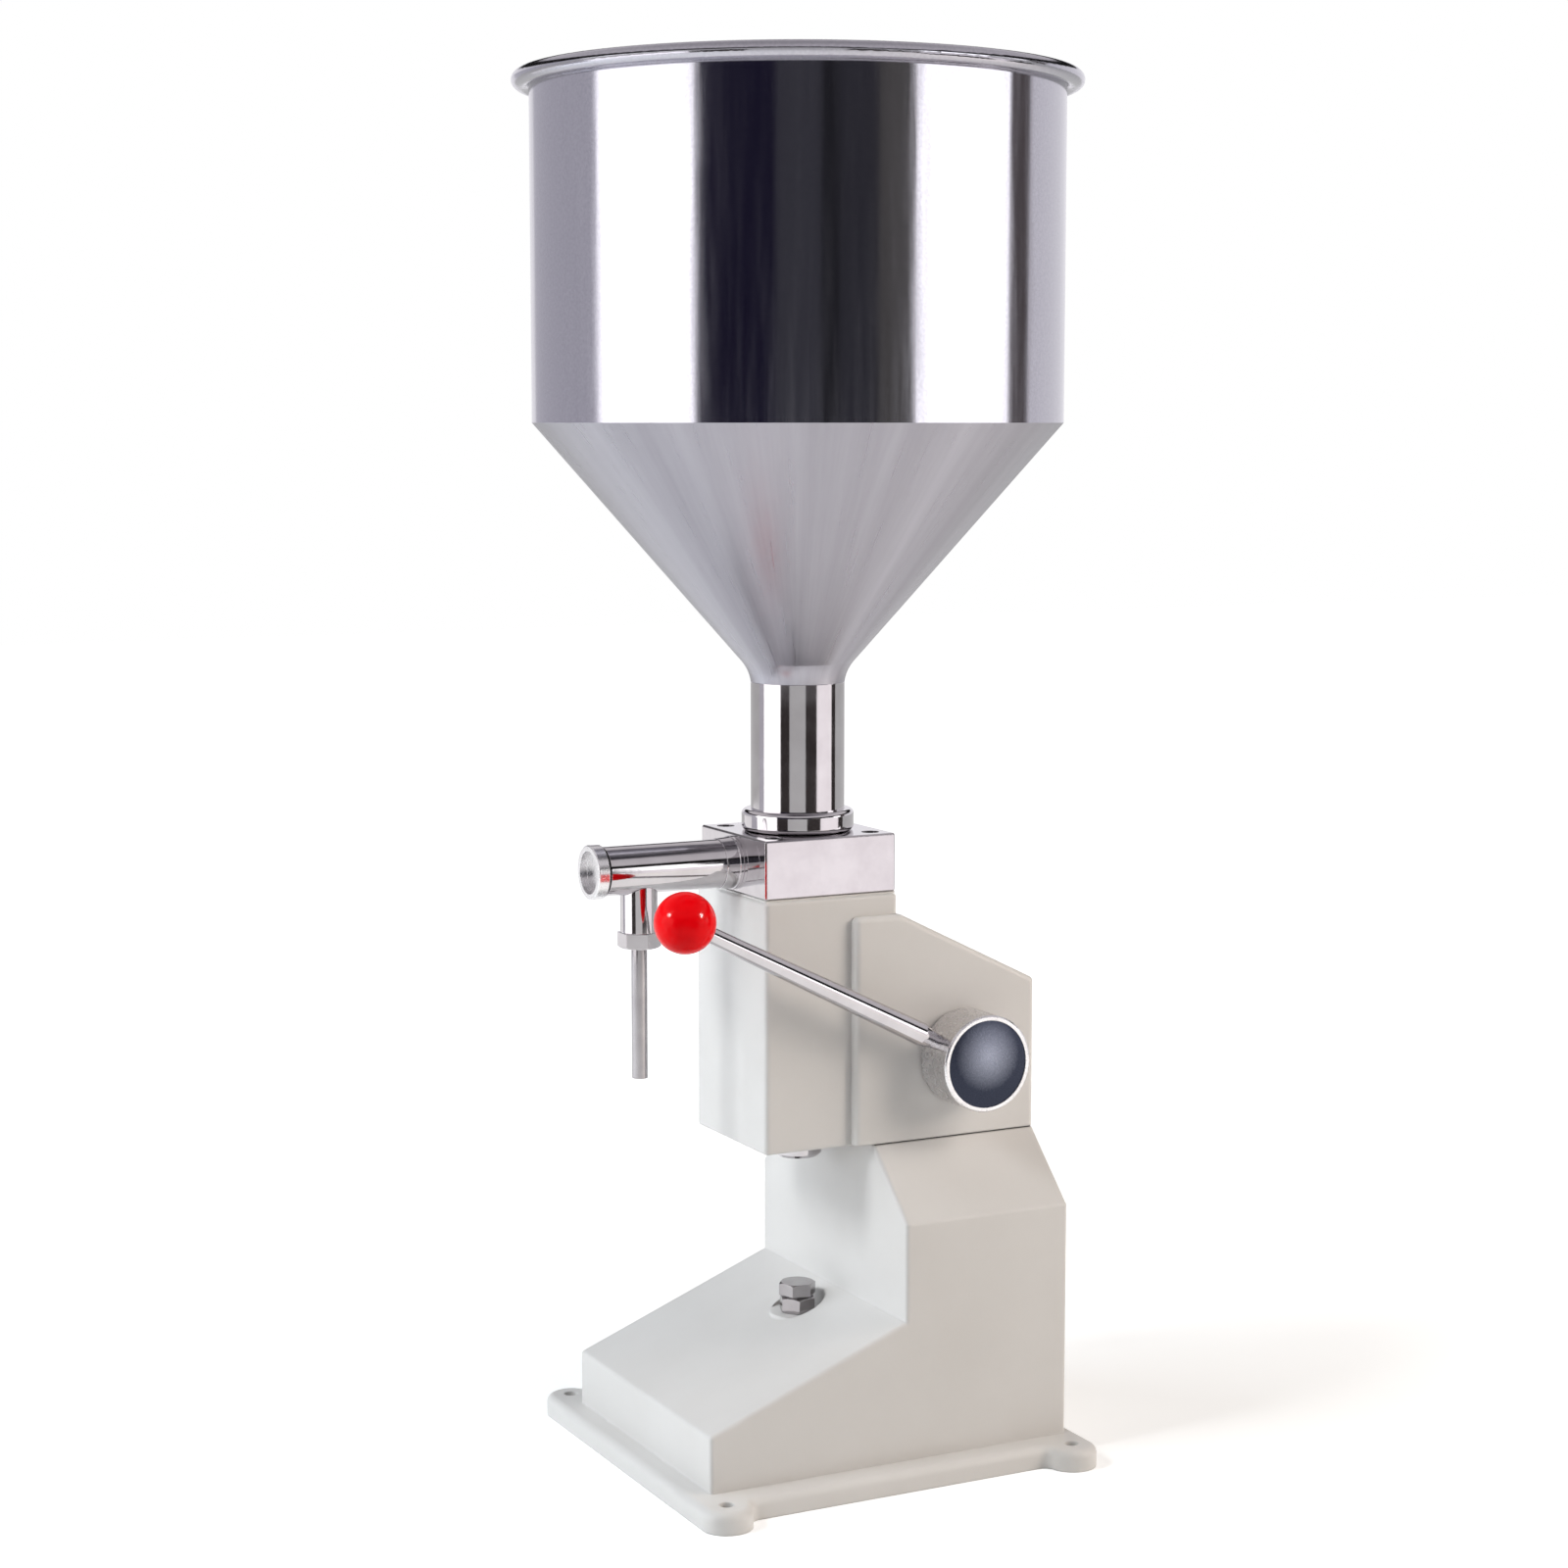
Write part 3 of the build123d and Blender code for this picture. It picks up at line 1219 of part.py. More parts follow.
# Nozzle boss saddled to the underside of the pipe
ferrule_base = nozzle_nut_top + nozzle_spigot_len
with BuildPart() as nozzle_boss:
    with BuildSketch(Plane.XY.offset(nozzle_nut_top)):
        with Locations((0, nozzle_y)):
            Circle(nozzle_boss_d / 2)
            Circle(nozzle_tube_d / 2 + 0.5, mode=Mode.SUBTRACT)
    extrude(amount=nozzle_boss_drop)
    with BuildSketch(Plane.XZ.offset(-block_front_y)):
        with Locations((0, pipe_z)):
            Circle(pipe_d / 2 + seat_gap)
    extrude(amount=pipe_len, mode=Mode.SUBTRACT)
    with BuildSketch(Plane.XY.offset(nozzle_nut_top)):
        with Locations((0, nozzle_y)):
            Circle(nozzle_spigot_d / 2 + seat_gap)
    extrude(amount=nozzle_spigot_len + ferrule_h + 0.2, mode=Mode.SUBTRACT)
nozzle_boss.part.label = "nozzle_boss"
export_step(nozzle_boss.part, "parts/nozzle_boss.step")

# Nozzle nut: chamfered hexagon with a spigot into the boss
with BuildPart() as nozzle_nut:
    with BuildSketch(Plane.XY.offset(nozzle_nut_bottom)):
        with Locations((0, nozzle_y)):
            RegularPolygon(nozzle_nut_af / 2, 6, major_radius=False)
    extrude(amount=nozzle_nut_h)
    nut_r = nozzle_nut_af / 2 / cos(radians(30))
    with BuildSketch(nozzle_plane):
        Polygon(
            (0, nozzle_nut_bottom),
            (nut_r - hex_chamfer, nozzle_nut_bottom),
            (nut_r, nozzle_nut_bottom + hex_chamfer * 0.6),
            (nut_r, nozzle_nut_top),
            (0, nozzle_nut_top),
            align=None,
        )
    revolve(axis=nozzle_axis, mode=Mode.INTERSECT)
    with BuildSketch(Plane.XY.offset(nozzle_nut_top)):
        with Locations((0, nozzle_y)):
            Circle(nozzle_spigot_d / 2)
    extrude(amount=nozzle_spigot_len)
    with BuildSketch(Plane.XY.offset(nozzle_nut_bottom)):
        with Locations((0, nozzle_y)):
            Circle(nozzle_grip_d / 2 + seat_gap)
    extrude(amount=nozzle_nut_h + nozzle_spigot_len, mode=Mode.SUBTRACT)
nozzle_nut.part.label = "nozzle_nut"
export_step(nozzle_nut.part, "parts/nozzle_nut.step")

# Ferrule squeezed on the tube by the nut
with BuildPart() as nozzle_ferrule:
    with BuildSketch(nozzle_plane):
        Polygon(
            (nozzle_grip_d / 2 + seat_gap, ferrule_base + seat_gap),
            (nozzle_spigot_d / 2 - seat_gap, ferrule_base + seat_gap),
            (nozzle_spigot_d / 2 - 1, ferrule_base + ferrule_h),
            (nozzle_grip_d / 2 + seat_gap, ferrule_base + ferrule_h),
            align=None,
        )
    revolve(axis=nozzle_axis)
nozzle_ferrule.part.label = "nozzle_ferrule"
export_step(nozzle_ferrule.part, "parts/nozzle_ferrule.step")

# Nozzle tube, turned down where the nut and the ferrule grip it
nozzle_tip = nozzle_nut_bottom - nozzle_tube_drop
with BuildPart() as nozzle_tube:
    with BuildSketch(nozzle_plane):
        Polygon(
            (nozzle_tube_d / 2 - nozzle_tube_wall, nozzle_tip),
            (nozzle_tube_d / 2, nozzle_tip),
            (nozzle_tube_d / 2, nozzle_tip + nozzle_tube_step),
            (nozzle_grip_d / 2, nozzle_tip + nozzle_tube_step),
            (nozzle_grip_d / 2, nozzle_nut_bottom + nozzle_tube_grip),
            (nozzle_tube_d / 2 - nozzle_tube_wall, nozzle_nut_bottom + nozzle_tube_grip),
            align=None,
        )
    revolve(axis=nozzle_axis)
nozzle_tube.part.label = "nozzle_tube"
export_step(nozzle_tube.part, "parts/nozzle_tube.step")

# Stop bolt: limits how far the piston rod can come down
bolt_seat = spot_h + nut_h + bolt_show
hex_r = bolt_af / 2 / cos(radians(30))
with BuildPart() as stop_bolt:
    with BuildSketch(Plane.XY.offset(bolt_seat)):
        with Locations((0, piston_y)):
            RegularPolygon(bolt_af / 2, 6, major_radius=False, rotation=head_turn)
    extrude(amount=bolt_head_h)
    with BuildSketch(piston_plane):
        Polygon(
            (0, bolt_seat),
            (hex_r, bolt_seat),
            (hex_r, bolt_seat + bolt_head_h - hex_chamfer * 0.6),
            (hex_r - hex_chamfer, bolt_seat + bolt_head_h),
            (0, bolt_seat + bolt_head_h),
            align=None,
        )
    revolve(axis=piston_axis, mode=Mode.INTERSECT)
    with BuildSketch(piston_plane):
        Polygon(
            (0, bolt_seat - bolt_shank),
            (bolt_d / 2 - bolt_tip, bolt_seat - bolt_shank),
            (bolt_d / 2, bolt_seat - bolt_shank + bolt_tip),
            (bolt_d / 2, bolt_seat),
            (0, bolt_seat),
            align=None,
        )
    revolve(axis=piston_axis)
stop_bolt.part.label = "stop_bolt"
export_step(stop_bolt.part, "parts/stop_bolt.step")

# Lock nut under the bolt's head, on the spot face of the toe
with BuildPart() as lock_nut:
    with BuildSketch(Plane.XY.offset(spot_h)):
        with Locations((0, piston_y)):
            RegularPolygon(bolt_af / 2, 6, major_radius=False, rotation=nut_turn)
    extrude(amount=nut_h)
    with BuildSketch(piston_plane):
        Polygon(
            (bolt_d / 2 + slide_gap, spot_h),
            (hex_r - hex_chamfer, spot_h),
            (hex_r, spot_h + hex_chamfer * 0.6),
            (hex_r, spot_h + nut_h - hex_chamfer * 0.6),
            (hex_r - hex_chamfer, spot_h + nut_h),
            (bolt_d / 2 + slide_gap, spot_h + nut_h),
            align=None,
        )
    revolve(axis=piston_axis, mode=Mode.INTERSECT)
lock_nut.part.label = "lock_nut"
export_step(lock_nut.part, "parts/lock_nut.step")
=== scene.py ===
import json
from math import cos, radians, sin

import bmesh
import bpy
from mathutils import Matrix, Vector

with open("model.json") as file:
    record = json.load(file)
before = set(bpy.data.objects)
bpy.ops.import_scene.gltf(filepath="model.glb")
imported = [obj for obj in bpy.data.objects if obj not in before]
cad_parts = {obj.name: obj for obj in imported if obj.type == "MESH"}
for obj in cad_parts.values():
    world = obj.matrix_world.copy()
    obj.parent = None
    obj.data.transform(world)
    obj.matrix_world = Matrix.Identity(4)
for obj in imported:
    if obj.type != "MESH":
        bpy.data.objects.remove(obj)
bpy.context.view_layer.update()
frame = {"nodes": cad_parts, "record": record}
nodes = frame["nodes"]

MM = 0.001

# The photograph's camera, from the solve of the machine's own edges
camera_azimuth = 62.917
camera_elevation = 6.747
camera_place = (1.376728, -0.722263, 0.531462)
camera_focal_px = 3105.8
camera_nearest = 0.01
camera_farthest = 50
photo_px = 1600
sensor_mm = 36.0

# Most values of a noise texture lie between these
noise_low = 0.3
noise_high = 0.7

# Painted highlight on the disc in the lever's hub: how far specks shift it, then, as shares of the disc's
# radius, how far its centre is above the disc's, and where it starts to fade and ends
highlight_speck = 3.5 * MM
highlight_rise = 0.2
highlight_start = 0.15
highlight_end = 0.9

# The point that the lamps aim at
studio_centre = Vector((0, 0, 0.35))

# Distances of the studio's screens from the origin, their heights, and the faces along each
close = 0.6
near = 1.6
far = 3.0
foot = -0.1
waist = 0.3
head = 1.15
flag_head = 1.4
screen_faces = 24

# Colours of the studio's lamps and screens
cool = (0.86, 0.93, 1.0)
pale_cool = (0.94, 0.98, 1.0)
warm = (1.0, 0.9, 0.81)
glint_white = (1.0, 0.98, 0.97)
white = (1.0, 0.99, 1.0)
blush = (1.0, 0.95, 0.97)
lilac = (0.63, 0.62, 0.68)
navy = (0.016, 0.014, 0.034)
umber = (0.05, 0.042, 0.042)
ash = (0.11, 0.105, 0.1)
slate = (0.065, 0.065, 0.078)
dark_slate = (0.045, 0.045, 0.055)
charcoal = (0.025, 0.025, 0.03)
soot = (0.01, 0.01, 0.012)

# The world as gloss sees it, by height, where 0 is level and 1 is straight up: a pale colour up to
# its top, then stops of a height and a grey with a little less green
horizon_top = 0.24
horizon_colour = (0.97, 0.955, 1.0)
dome_stops = ((0.27, 0.01), (0.42, 0.01), (0.48, 0.75), (0.7, 0.7), (1.0, 0.5))
dome_green = 0.96

# The world's even light on all that isn't gloss
ambient = 0.12

# The floor, and the light of its own that it shows the camera: near the machine, far from it, and
# the distances between which that rises. In gloss it shows one strength all over.
floor_half = 6.0
floor_grey = (0.82, 0.82, 0.82)
floor_rough = 0.9
floor_lift_near = 0.45
floor_lift_far = 0.95
floor_lift_start = 0.35
floor_lift_end = 1.4
floor_lift_gloss = 0.5


def make_camera():
    data = bpy.data.cameras.new("camera")
    data.sensor_width = sensor_mm
    data.lens = sensor_mm * camera_focal_px / photo_px
    data.clip_start = camera_nearest
    data.clip_end = camera_farthest
    camera = bpy.data.objects.new("camera", data)
    camera.location = camera_place
    camera.rotation_euler = (radians(90 - camera_elevation), 0, radians(camera_azimuth))
    bpy.context.scene.collection.objects.link(camera)
    bpy.context.scene.camera = camera


class Material:
    """A node material with its shader ready, and short calls that add and join nodes."""

    def __init__(self, name):
        self.data = bpy.data.materials.new(name)
        self.data.use_nodes = True
        self.tree = self.data.node_tree
        self.shader = self.tree.nodes["Principled BSDF"]
        self.place = self.add("ShaderNodeTexCoord").outputs["Object"]

    def add(self, kind, inputs=(), **settings):
        """Adds a node, with its settings, and with values or links on its inputs."""
        node = self.tree.nodes.new(kind)
        for key, value in settings.items():
            setattr(node, key, value)
        for key, value in dict(inputs).items():
            if isinstance(value, bpy.types.NodeSocket):
                self.tree.links.new(value, node.inputs[key])
            else:
                node.inputs[key].default_value = value
        return node

    def vector(self, operation, first, second=(0, 0, 0)):
        """One step of vector arithmetic."""
        node = self.add("ShaderNodeVectorMath", {0: first, 1: second}, operation=operation)
        return node.outputs["Vector"]

    def multiply_add(self, value, factor, extra):
        """A value times a factor, plus an extra."""
        node = self.add("ShaderNodeMath", {0: value, 1: factor, 2: extra}, operation="MULTIPLY_ADD")
        return node.outputs["Value"]

    def noise(self, scale, detail=4.0, stretch=(1, 1, 1), roughness=0.55, place=None):
        """Noise with features about one over scale metres wide, longer where stretch is below one."""
        spread = self.add("ShaderNodeMapping", {"Vector": place or self.place, "Scale": stretch})
        texture = self.add(
            "ShaderNodeTexNoise",
            {"Vector": spread.outputs[0], "Scale": scale, "Detail": detail, "Roughness": roughness},
        )
        return texture.outputs["Fac"]

    def ramp(self, value, low, high, from_low=noise_low, from_high=noise_high):
        """Maps a value, of noise as a rule, to a range of numbers."""
        node = self.add(
            "ShaderNodeMapRange",
            {"Value": value, "From Min": from_low, "From Max": from_high, "To Min": low, "To Max": high},
        )
        return node.outputs["Result"]

    def blend(self, value, first, second, from_low=noise_low, from_high=noise_high):
        """Mixes two colours by a value, of noise as a rule."""
        share = self.ramp(value, 0.0, 1.0, from_low, from_high)
        inputs = {"Factor": share, "A": (*first, 1), "B": (*second, 1)}
        return self.add("ShaderNodeMix", inputs, data_type="RGBA").outputs["Result"]

    def tint(self, first, second):
        """One colour times another."""
        settings = {"data_type": "RGBA", "blend_type": "MULTIPLY"}
        node = self.add("ShaderNodeMix", {"Factor": 1.0, "A": first, "B": second}, **settings)
        return node.outputs["Result"]

    def around(self, centre, rise=0.6):
        """The bearing round an upright axis, so that noise on it runs in streaks down a cone."""
        flat = self.vector("MULTIPLY", self.vector("SUBTRACT", self.place, centre), (1, 1, 0))
        bearing = self.vector("NORMALIZE", flat)
        up = self.vector("MULTIPLY", self.place, (0, 0, rise))
        return self.vector("ADD", bearing, up)

    def soft_edge(self, radius):
        """A normal that rolls over sharp edges, as paint and polishing leave them."""
        return self.add("ShaderNodeBevel", {"Radius": radius}, samples=6).outputs["Normal"]

    def bump(self, height, distance, strength=1.0, below=None):
        """A normal with the given height in it, on top of the normal below."""
        inputs = {"Height": height, "Distance": distance, "Strength": strength}
        if below is not None:
            inputs["Normal"] = below
        return self.add("ShaderNodeBump", inputs).outputs["Normal"]

    def set(self, **inputs):
        """Sets the shader's inputs, where an underscore stands for a space."""
        for key, value in inputs.items():
            socket = self.shader.inputs[key.replace("_", " ")]
            if isinstance(value, bpy.types.NodeSocket):
                self.tree.links.new(value, socket)
            elif isinstance(value, tuple):
                socket.default_value = (*value, 1)
            else:
                socket.default_value = value

    def show(self, shader):
        """Puts a shader on the surface in place of the first one."""
        surface = self.tree.nodes["Material Output"].inputs["Surface"]
        self.tree.links.new(shader.outputs[0], surface)


def paint_material():
    """Sprayed enamel on sanded cast metal: orange peel, a faint unevenness, slightly uneven gloss."""
    look = Material("paint")
    peel = look.noise(scale=900, detail=3)
    waves = look.noise(scale=55, detail=3)
    sprayed = look.bump(peel, 0.06 * MM, strength=0.5, below=look.soft_edge(1.6 * MM))
    normal = look.bump(waves, 0.6 * MM, strength=0.2, below=sprayed)
    colour = look.blend(look.noise(scale=14), (0.69, 0.672, 0.652), (0.73, 0.715, 0.698))
    rough = look.ramp(look.noise(scale=30), 0.34, 0.46)
    look.set(Base_Color=colour, Roughness=rough, Normal=normal)
    look.set(Coat_Weight=0.15, Coat_Roughness=0.3)
    return look.data


def sheet_steel_material():
    """Rolled stainless sheet: near mirror, a little wavy, with fine grain that runs up the hopper."""
    look = Material("sheet_steel")
    grain = look.noise(scale=260, stretch=(1, 1, 0.05))
    waves = look.noise(scale=22, detail=2, stretch=(1, 1, 0.08))
    speck = look.noise(scale=700, detail=2)
    rolled = look.bump(waves, 0.4 * MM, strength=0.07)
    normal = look.bump(grain, 0.04 * MM, strength=0.2, below=rolled)
    colour = look.blend(speck, (0.42, 0.41, 0.455), (0.47, 0.46, 0.505))
    rough = look.ramp(grain, 0.09, 0.17)
    look.set(Base_Color=colour, Metallic=1.0, Roughness=rough, Normal=normal)
    return look.data


def cone_steel_material(centre):
    """Spun stainless sheet: satin, with streaks that run down the cone."""
    look = Material("cone_steel")
    bearing = look.around(centre)
    streaks = look.noise(scale=34, roughness=0.65, place=bearing)
    broad = look.noise(scale=3.2, detail=2, place=bearing)
    fine_colour = look.blend(streaks, (0.385, 0.375, 0.415), (0.425, 0.415, 0.455))
    broad_tint = look.blend(broad, (0.74, 0.73, 0.74), (1.0, 1.0, 1.0))
    colour = look.tint(fine_colour, broad_tint)
    normal = look.bump(streaks, 0.08 * MM, strength=0.25)
    rough = look.ramp(streaks, 0.26, 0.36)
    look.set(Base_Color=colour, Metallic=1.0, Roughness=rough, Normal=normal)
    return look.data


def polished_material(name, dark, light):
    """Polished steel with faint buffing marks and a light haze."""
    look = Material(name)
    marks = look.noise(scale=700, detail=3, stretch=(1, 1, 0.15))
    haze = look.noise(scale=60)
    normal = look.bump(marks, 0.02 * MM, strength=0.15, below=look.soft_edge(0.5 * MM))
    colour = look.blend(haze, dark, light)
    rough = look.ramp(haze, 0.05, 0.11)
    look.set(Base_Color=colour, Metallic=1.0, Roughness=rough, Normal=normal)
    return look.data


def satin_material():
    """Steel with a turned, satin face."""
    look = Material("satin_steel")
    marks = look.noise(scale=500, detail=3)
    haze = look.noise(scale=80, detail=3)
    normal = look.bump(marks, 0.01 * MM, strength=0.1, below=look.soft_edge(0.5 * MM))
    colour = look.blend(haze, (0.72, 0.71, 0.72), (0.80, 0.79, 0.80))
    rough = look.ramp(marks, 0.22, 0.3)
    look.set(Base_Color=colour, Metallic=1.0, Roughness=rough, Normal=normal)
    return look.data


def machined_material(name, dark, light, rough_range):
    """Turned or milled metal with fine tool marks."""
    look = Material(name)
    marks = look.noise(scale=1200, detail=3, stretch=(0.3, 1, 1))
    normal = look.bump(marks, 0.03 * MM, strength=0.4)
    colour = look.blend(look.noise(scale=90), dark, light)
    rough = look.ramp(marks, *rough_range)
    look.set(Base_Color=colour, Metallic=1.0, Roughness=rough, Normal=normal)
    return look.data


def dark_steel_material(centre, reach):
    """Steel painted dark for its reflection of a dark room, with a painted highlight round a point."""
    look = Material("dark_steel")
    speck = look.noise(scale=900, roughness=0.6)
    away = look.add("ShaderNodeVectorMath", {0: look.place, 1: centre}, operation="DISTANCE")
    highlight_distance = look.multiply_add(speck, highlight_speck, away.outputs["Value"])
    # A painted highlight colour near the point, fading into the dark colour further out
    painted_highlight = (0.27, 0.29, 0.355)
    # A dark colour painted in for the disc's reflection of a dark room
    painted_dark = (0.035, 0.04, 0.06)
    colour = look.blend(highlight_distance, painted_highlight, painted_dark, highlight_start * reach, highlight_end * reach)
    normal = look.bump(speck, 0.03 * MM, strength=0.3)
    rough = look.ramp(speck, 0.24, 0.34)
    look.set(Base_Color=colour, Metallic=1.0, Roughness=rough, Normal=normal)
    return look.data


def moulded_material(name, dark, light, rough_range, grain=1500, gloss=0.5):
    """Moulded rubber or plastic with a fine skin."""
    look = Material(name)
    normal = look.bump(look.noise(scale=grain, detail=3), 0.03 * MM, strength=0.4)
    colour = look.blend(look.noise(scale=70), dark, light)
    rough = look.ramp(look.noise(scale=200, detail=3), *rough_range)
    look.set(Base_Color=colour, Roughness=rough, Normal=normal)
    look.set(Specular_IOR_Level=gloss)
    return look.data


def own_place(data):
    """The middle and the greatest half width of a node, in its own space."""
    spots = [vertex.co for vertex in data.vertices]
    low = Vector([min(spot[i] for spot in spots) for i in range(3)])
    high = Vector([max(spot[i] for spot in spots) for i in range(3)])
    return (low + high) / 2, max(high - low) / 2


def make_materials():
    disc_centre, disc_reach = own_place(nodes["hub_cap"].data)
    # The painted highlight's centre sits a little above the middle of the disc
    highlight_centre = disc_centre + Vector((0, 0, highlight_rise * disc_reach))
    cone_centre = own_place(nodes["hopper_cone"].data)[0]
    return {
        "paint": paint_material(),
        "polished_steel": polished_material("polished_steel", (0.53, 0.505, 0.52), (0.60, 0.58, 0.595)),
        "bolt_steel": polished_material("bolt_steel", (0.33, 0.31, 0.32), (0.42, 0.40, 0.41)),
        "brushed_steel": sheet_steel_material(),
        "cone_steel": cone_steel_material(cone_centre),
        "satin_steel": satin_material(),
        "dark_steel": dark_steel_material(highlight_centre, disc_reach),
        "machined_steel": machined_material(
            "machined_steel", (0.42, 0.42, 0.44), (0.55, 0.55, 0.57), (0.25, 0.4)
        ),
        "bronze": machined_material("bronze", (0.55, 0.36, 0.17), (0.66, 0.46, 0.24), (0.25, 0.4)),
        "screw_steel": machined_material(
            "screw_steel", (0.16, 0.16, 0.17), (0.25, 0.25, 0.26), (0.3, 0.45)
        ),
        "seal_rubber": moulded_material(
            "seal_rubber", (0.012, 0.012, 0.012), (0.03, 0.03, 0.03), (0.5, 0.7)
        ),
        "seal_plastic": moulded_material(
            "seal_plastic", (0.7, 0.69, 0.66), (0.8, 0.79, 0.77), (0.4, 0.55)
        ),
        "knob_red": moulded_material(
            "knob_red", (0.88, 0.001, 0.004), (0.96, 0.002, 0.006), (0.1, 0.16), grain=60, gloss=0.08
        ),
    }


# Nodes whose finish differs from the rest of their slot
finishes = {
    "hopper_cone": "cone_steel",
    "pipe_end_cap": "satin_steel",
    "lever_hub": "satin_steel",
    "stop_bolt": "bolt_steel",
    "lock_nut": "bolt_steel",
    "nozzle_tube": "bolt_steel",
}


def dress_cad_nodes(materials):
    for row in frame["record"]["subparts"]:
        data = nodes[row["node"]].data
        data.materials.clear()
        data.materials.append(materials[finishes.get(row["node"], row["material_slot"])])


def studio_direction(angle):
    """The level direction at an angle to the right of the camera's side of the machine."""
    turned = radians(camera_azimuth + angle)
    return Vector((sin(turned), -cos(turned), 0))


def make_lamp(name, colour, watts, angle, distance, height, width, tall):
    """A softbox that lights the machine. What polished metal shows of the studio is make_screen's."""
    data = bpy.data.lights.new(name, "AREA")
    data.shape = "RECTANGLE"
    data.size = width
    data.size_y = tall
    data.energy = watts
    data.color = colour
    lamp = bpy.data.objects.new(name, data)
    lamp.location = studio_direction(angle) * distance + Vector((0, 0, height))
    aim = studio_centre - lamp.location
    lamp.rotation_euler = aim.to_track_quat("-Z", "Y").to_euler()
    lamp.visible_camera = False
    lamp.visible_glossy = False
    bpy.context.scene.collection.objects.link(lamp)
    return lamp


def make_glint(name, shown_on, watts, angle, height, width, tall):
    """A lamp that shows as a highlight on one glossy node and lights nothing else."""
    lamp = make_lamp(name, glint_white, watts, angle, near, height, width, tall)
    lamp.visible_diffuse = False
    lamp.visible_glossy = True
    receivers = bpy.data.collections.new(name)
    receivers.objects.link(shown_on)
    lamp.light_linking.receiver_collection = receivers


def make_screen(name, start, end, low, high, colour, strength=1.0, lean=0.0, distance=far):
    """A curved screen between two angles and two heights, which shows in gloss alone.

    Its upper edge is turned round the machine by the lean, in degrees.
    """
    mesh = bpy.data.meshes.new(name)
    shape = bmesh.new()
    rows = []
    for i in range(screen_faces + 1):
        row = []
        for height, shift in ((low, 0.0), (high, lean)):
            side = studio_direction(start + (end - start) * i / screen_faces + shift)
            row.append(shape.verts.new(side * distance + Vector((0, 0, height))))
        rows.append(row)
    for first, second in zip(rows, rows[1:]):
        shape.faces.new((first[0], second[0], second[1], first[1]))
    shape.to_mesh(mesh)
    shape.free()
    look = Material(name)
    look.show(look.add("ShaderNodeEmission", {"Color": (*colour, 1), "Strength": strength}))
    mesh.materials.append(look.data)
    screen = bpy.data.objects.new(name, mesh)
    screen.visible_camera = False
    screen.visible_diffuse = False
    screen.visible_transmission = False
    screen.visible_shadow = False
    bpy.context.scene.collection.objects.link(screen)


def make_screens(start, low, distance, rows):
    """Screens side by side from the left, each from where the one before it ends.

    A row holds the screen's name, the angle of its end, its top, colour, strength and lean.
    """
    for name, end, high, colour, strength, lean in rows:
        make_screen(name, start, end, low, high, colour, strength, lean, distance)
        start = end


def make_lights():
    """Three softboxes, and two highlights on the ball knob."""
    make_lamp("left_lamp", cool, watts=15, angle=-95, distance=1.5, height=0.85, width=1.0, tall=1.5)
    make_lamp("left_key", pale_cool, watts=14, angle=-60, distance=1.3, height=1.25, width=0.45, tall=0.45)
    make_lamp("right_lamp", warm, watts=19.5, angle=76, distance=1.5, height=0.95, width=0.9, tall=1.1)
    ball = nodes["ball_knob"]
    make_glint("left_glint", ball, watts=45, angle=-66, height=1.1, width=0.32, tall=0.24)
    make_glint("right_glint", ball, watts=45, angle=69, height=1.1, width=0.28, tall=0.24)


def make_hopper_screens():
    """The upper screens, which the hopper's cylinder shows."""
    rows = (
        ("left_edge", -91.7, head, lilac, 1.0, 0.0),
        ("left_screen", -43, flag_head, white, 2.6, 0.0),
        ("left_flag", -9.2, flag_head, navy, 1.0, 0.0),
        ("middle_flag", 9.2, flag_head, slate, 1.0, 0.0),
        ("middle_flag_dark", 16.3, flag_head, charcoal, 1.0, 0.0),
        ("right_flag", 32.7, flag_head, dark_slate, 1.0, 0.0),
        ("right_flag_pale", 49, flag_head, ash, 1.0, 0.0),
        ("right_screen", 97.8, head, white, 2.6, 0.0),
        ("right_edge", 111.9, flag_head, umber, 2.2, 2.0),
    )
    make_screens(-152, waist, far, rows)


def make_low_screens():
    """The lower screens, for the polished pieces under the hopper, and a dark one for the lever rod."""
    left = (
        ("left_rear_low", -108, 0.14, white, 1.2, 0.0),
        ("left_edge_low", -90, waist, lilac, 1.0, 0.0),
        ("left_screen_low", -42.5, waist, white, 2.2, 0.0),
        ("left_flag_low", -20, waist, umber, 1.0, 0.0),
    )
    right = (
        ("right_flag_low", 47, waist, umber, 1.0, 0.0),
        ("right_screen_low", 91, waist, blush, 1.38, 0.0),
        ("right_edge_low", 105, waist, umber, 1.0, 0.0),
    )
    make_screens(-140, foot, near, left)
    make_screens(19, foot, near, right)
    make_screen("rod_flag", 46, 78, 0.37, 0.5, soot, distance=close)


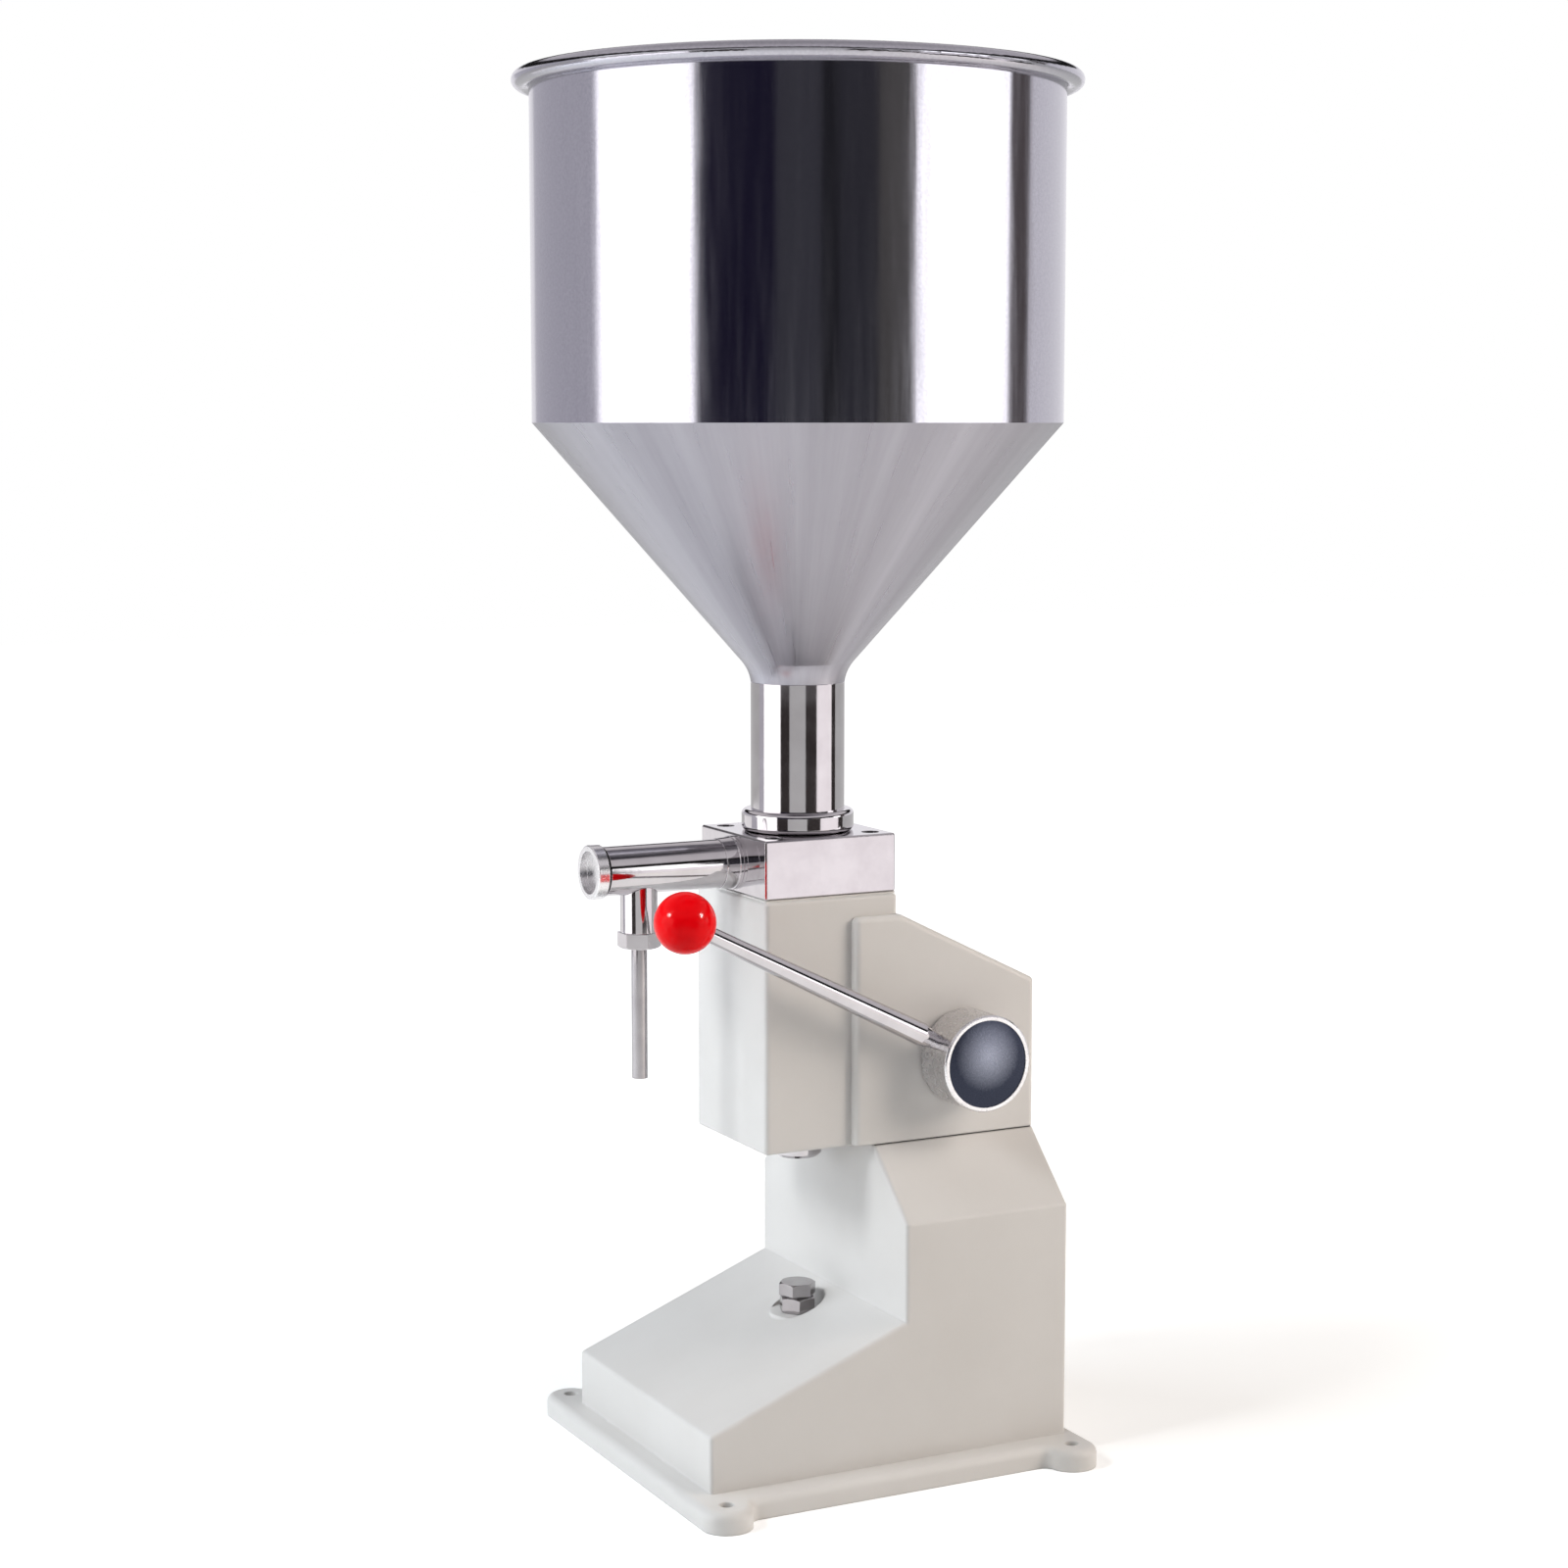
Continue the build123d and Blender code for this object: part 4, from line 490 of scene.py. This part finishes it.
def make_world():
    """White to the camera; in gloss white at the horizon, dark above it and grey overhead."""
    world = bpy.data.worlds.new("studio")
    bpy.context.scene.world = world
    world.use_nodes = True
    tree = world.node_tree
    tree.nodes.clear()
    add = tree.nodes.new
    link = tree.links.new
    path = add("ShaderNodeLightPath")
    direction = add("ShaderNodeTexCoord").outputs["Generated"]
    split = add("ShaderNodeSeparateXYZ")
    link(direction, split.inputs[0])
    dome = add("ShaderNodeValToRGB")
    link(split.outputs["Z"], dome.inputs["Fac"])
    stops = dome.color_ramp.elements
    while len(stops) > 1:
        stops.remove(stops[-1])
    stops[0].position = horizon_top
    stops[0].color = (*horizon_colour, 1)
    for place, grey in dome_stops:
        stops.new(place).color = (grey, grey * dome_green, grey, 1)
    room = add("ShaderNodeBackground")
    link(dome.outputs["Color"], room.inputs["Color"])
    even = add("ShaderNodeBackground")
    even.inputs["Color"].default_value = (1, 1, 1, 1)
    even.inputs["Strength"].default_value = ambient
    backdrop = add("ShaderNodeBackground")
    backdrop.inputs["Color"].default_value = (1, 1, 1, 1)
    lighting = add("ShaderNodeMixShader")
    link(path.outputs["Is Glossy Ray"], lighting.inputs["Fac"])
    link(even.outputs[0], lighting.inputs[1])
    link(room.outputs[0], lighting.inputs[2])
    seen = add("ShaderNodeMath")
    seen.operation = "MAXIMUM"
    link(path.outputs["Is Camera Ray"], seen.inputs[0])
    link(path.outputs["Is Transmission Ray"], seen.inputs[1])
    total = add("ShaderNodeMixShader")
    link(seen.outputs[0], total.inputs["Fac"])
    link(lighting.outputs[0], total.inputs[1])
    link(backdrop.outputs[0], total.inputs[2])
    output = add("ShaderNodeOutputWorld")
    link(total.outputs[0], output.inputs["Surface"])


def make_floor():
    """A pale floor that stays white to the camera and in gloss but keeps the machine's soft shadow."""
    half = floor_half
    corners = [(-half, -half, 0), (half, -half, 0), (half, half, 0), (-half, half, 0)]
    mesh = bpy.data.meshes.new("floor")
    mesh.from_pydata(corners, [], [(0, 1, 2, 3)])
    floor = bpy.data.objects.new("floor", mesh)
    bpy.context.scene.collection.objects.link(floor)
    look = Material("floor")
    look.set(Base_Color=floor_grey, Roughness=floor_rough, Specular_IOR_Level=0.0)
    path = look.add("ShaderNodeLightPath").outputs
    away = look.add("ShaderNodeVectorMath", {0: look.place}, operation="LENGTH").outputs["Value"]
    in_view = look.ramp(away, floor_lift_near, floor_lift_far, floor_lift_start, floor_lift_end)
    for_camera = look.multiply_add(path["Is Camera Ray"], in_view, 0.0)
    lift = look.multiply_add(path["Is Glossy Ray"], floor_lift_gloss, for_camera)
    glow = look.add("ShaderNodeEmission", {"Strength": lift})
    look.show(look.add("ShaderNodeAddShader", {0: look.shader.outputs[0], 1: glow.outputs[0]}))
    mesh.materials.append(look.data)


make_camera()
dress_cad_nodes(make_materials())
make_world()
make_floor()
make_lights()
make_hopper_screens()
make_low_screens()

bpy.context.scene.view_settings.view_transform = "Standard"
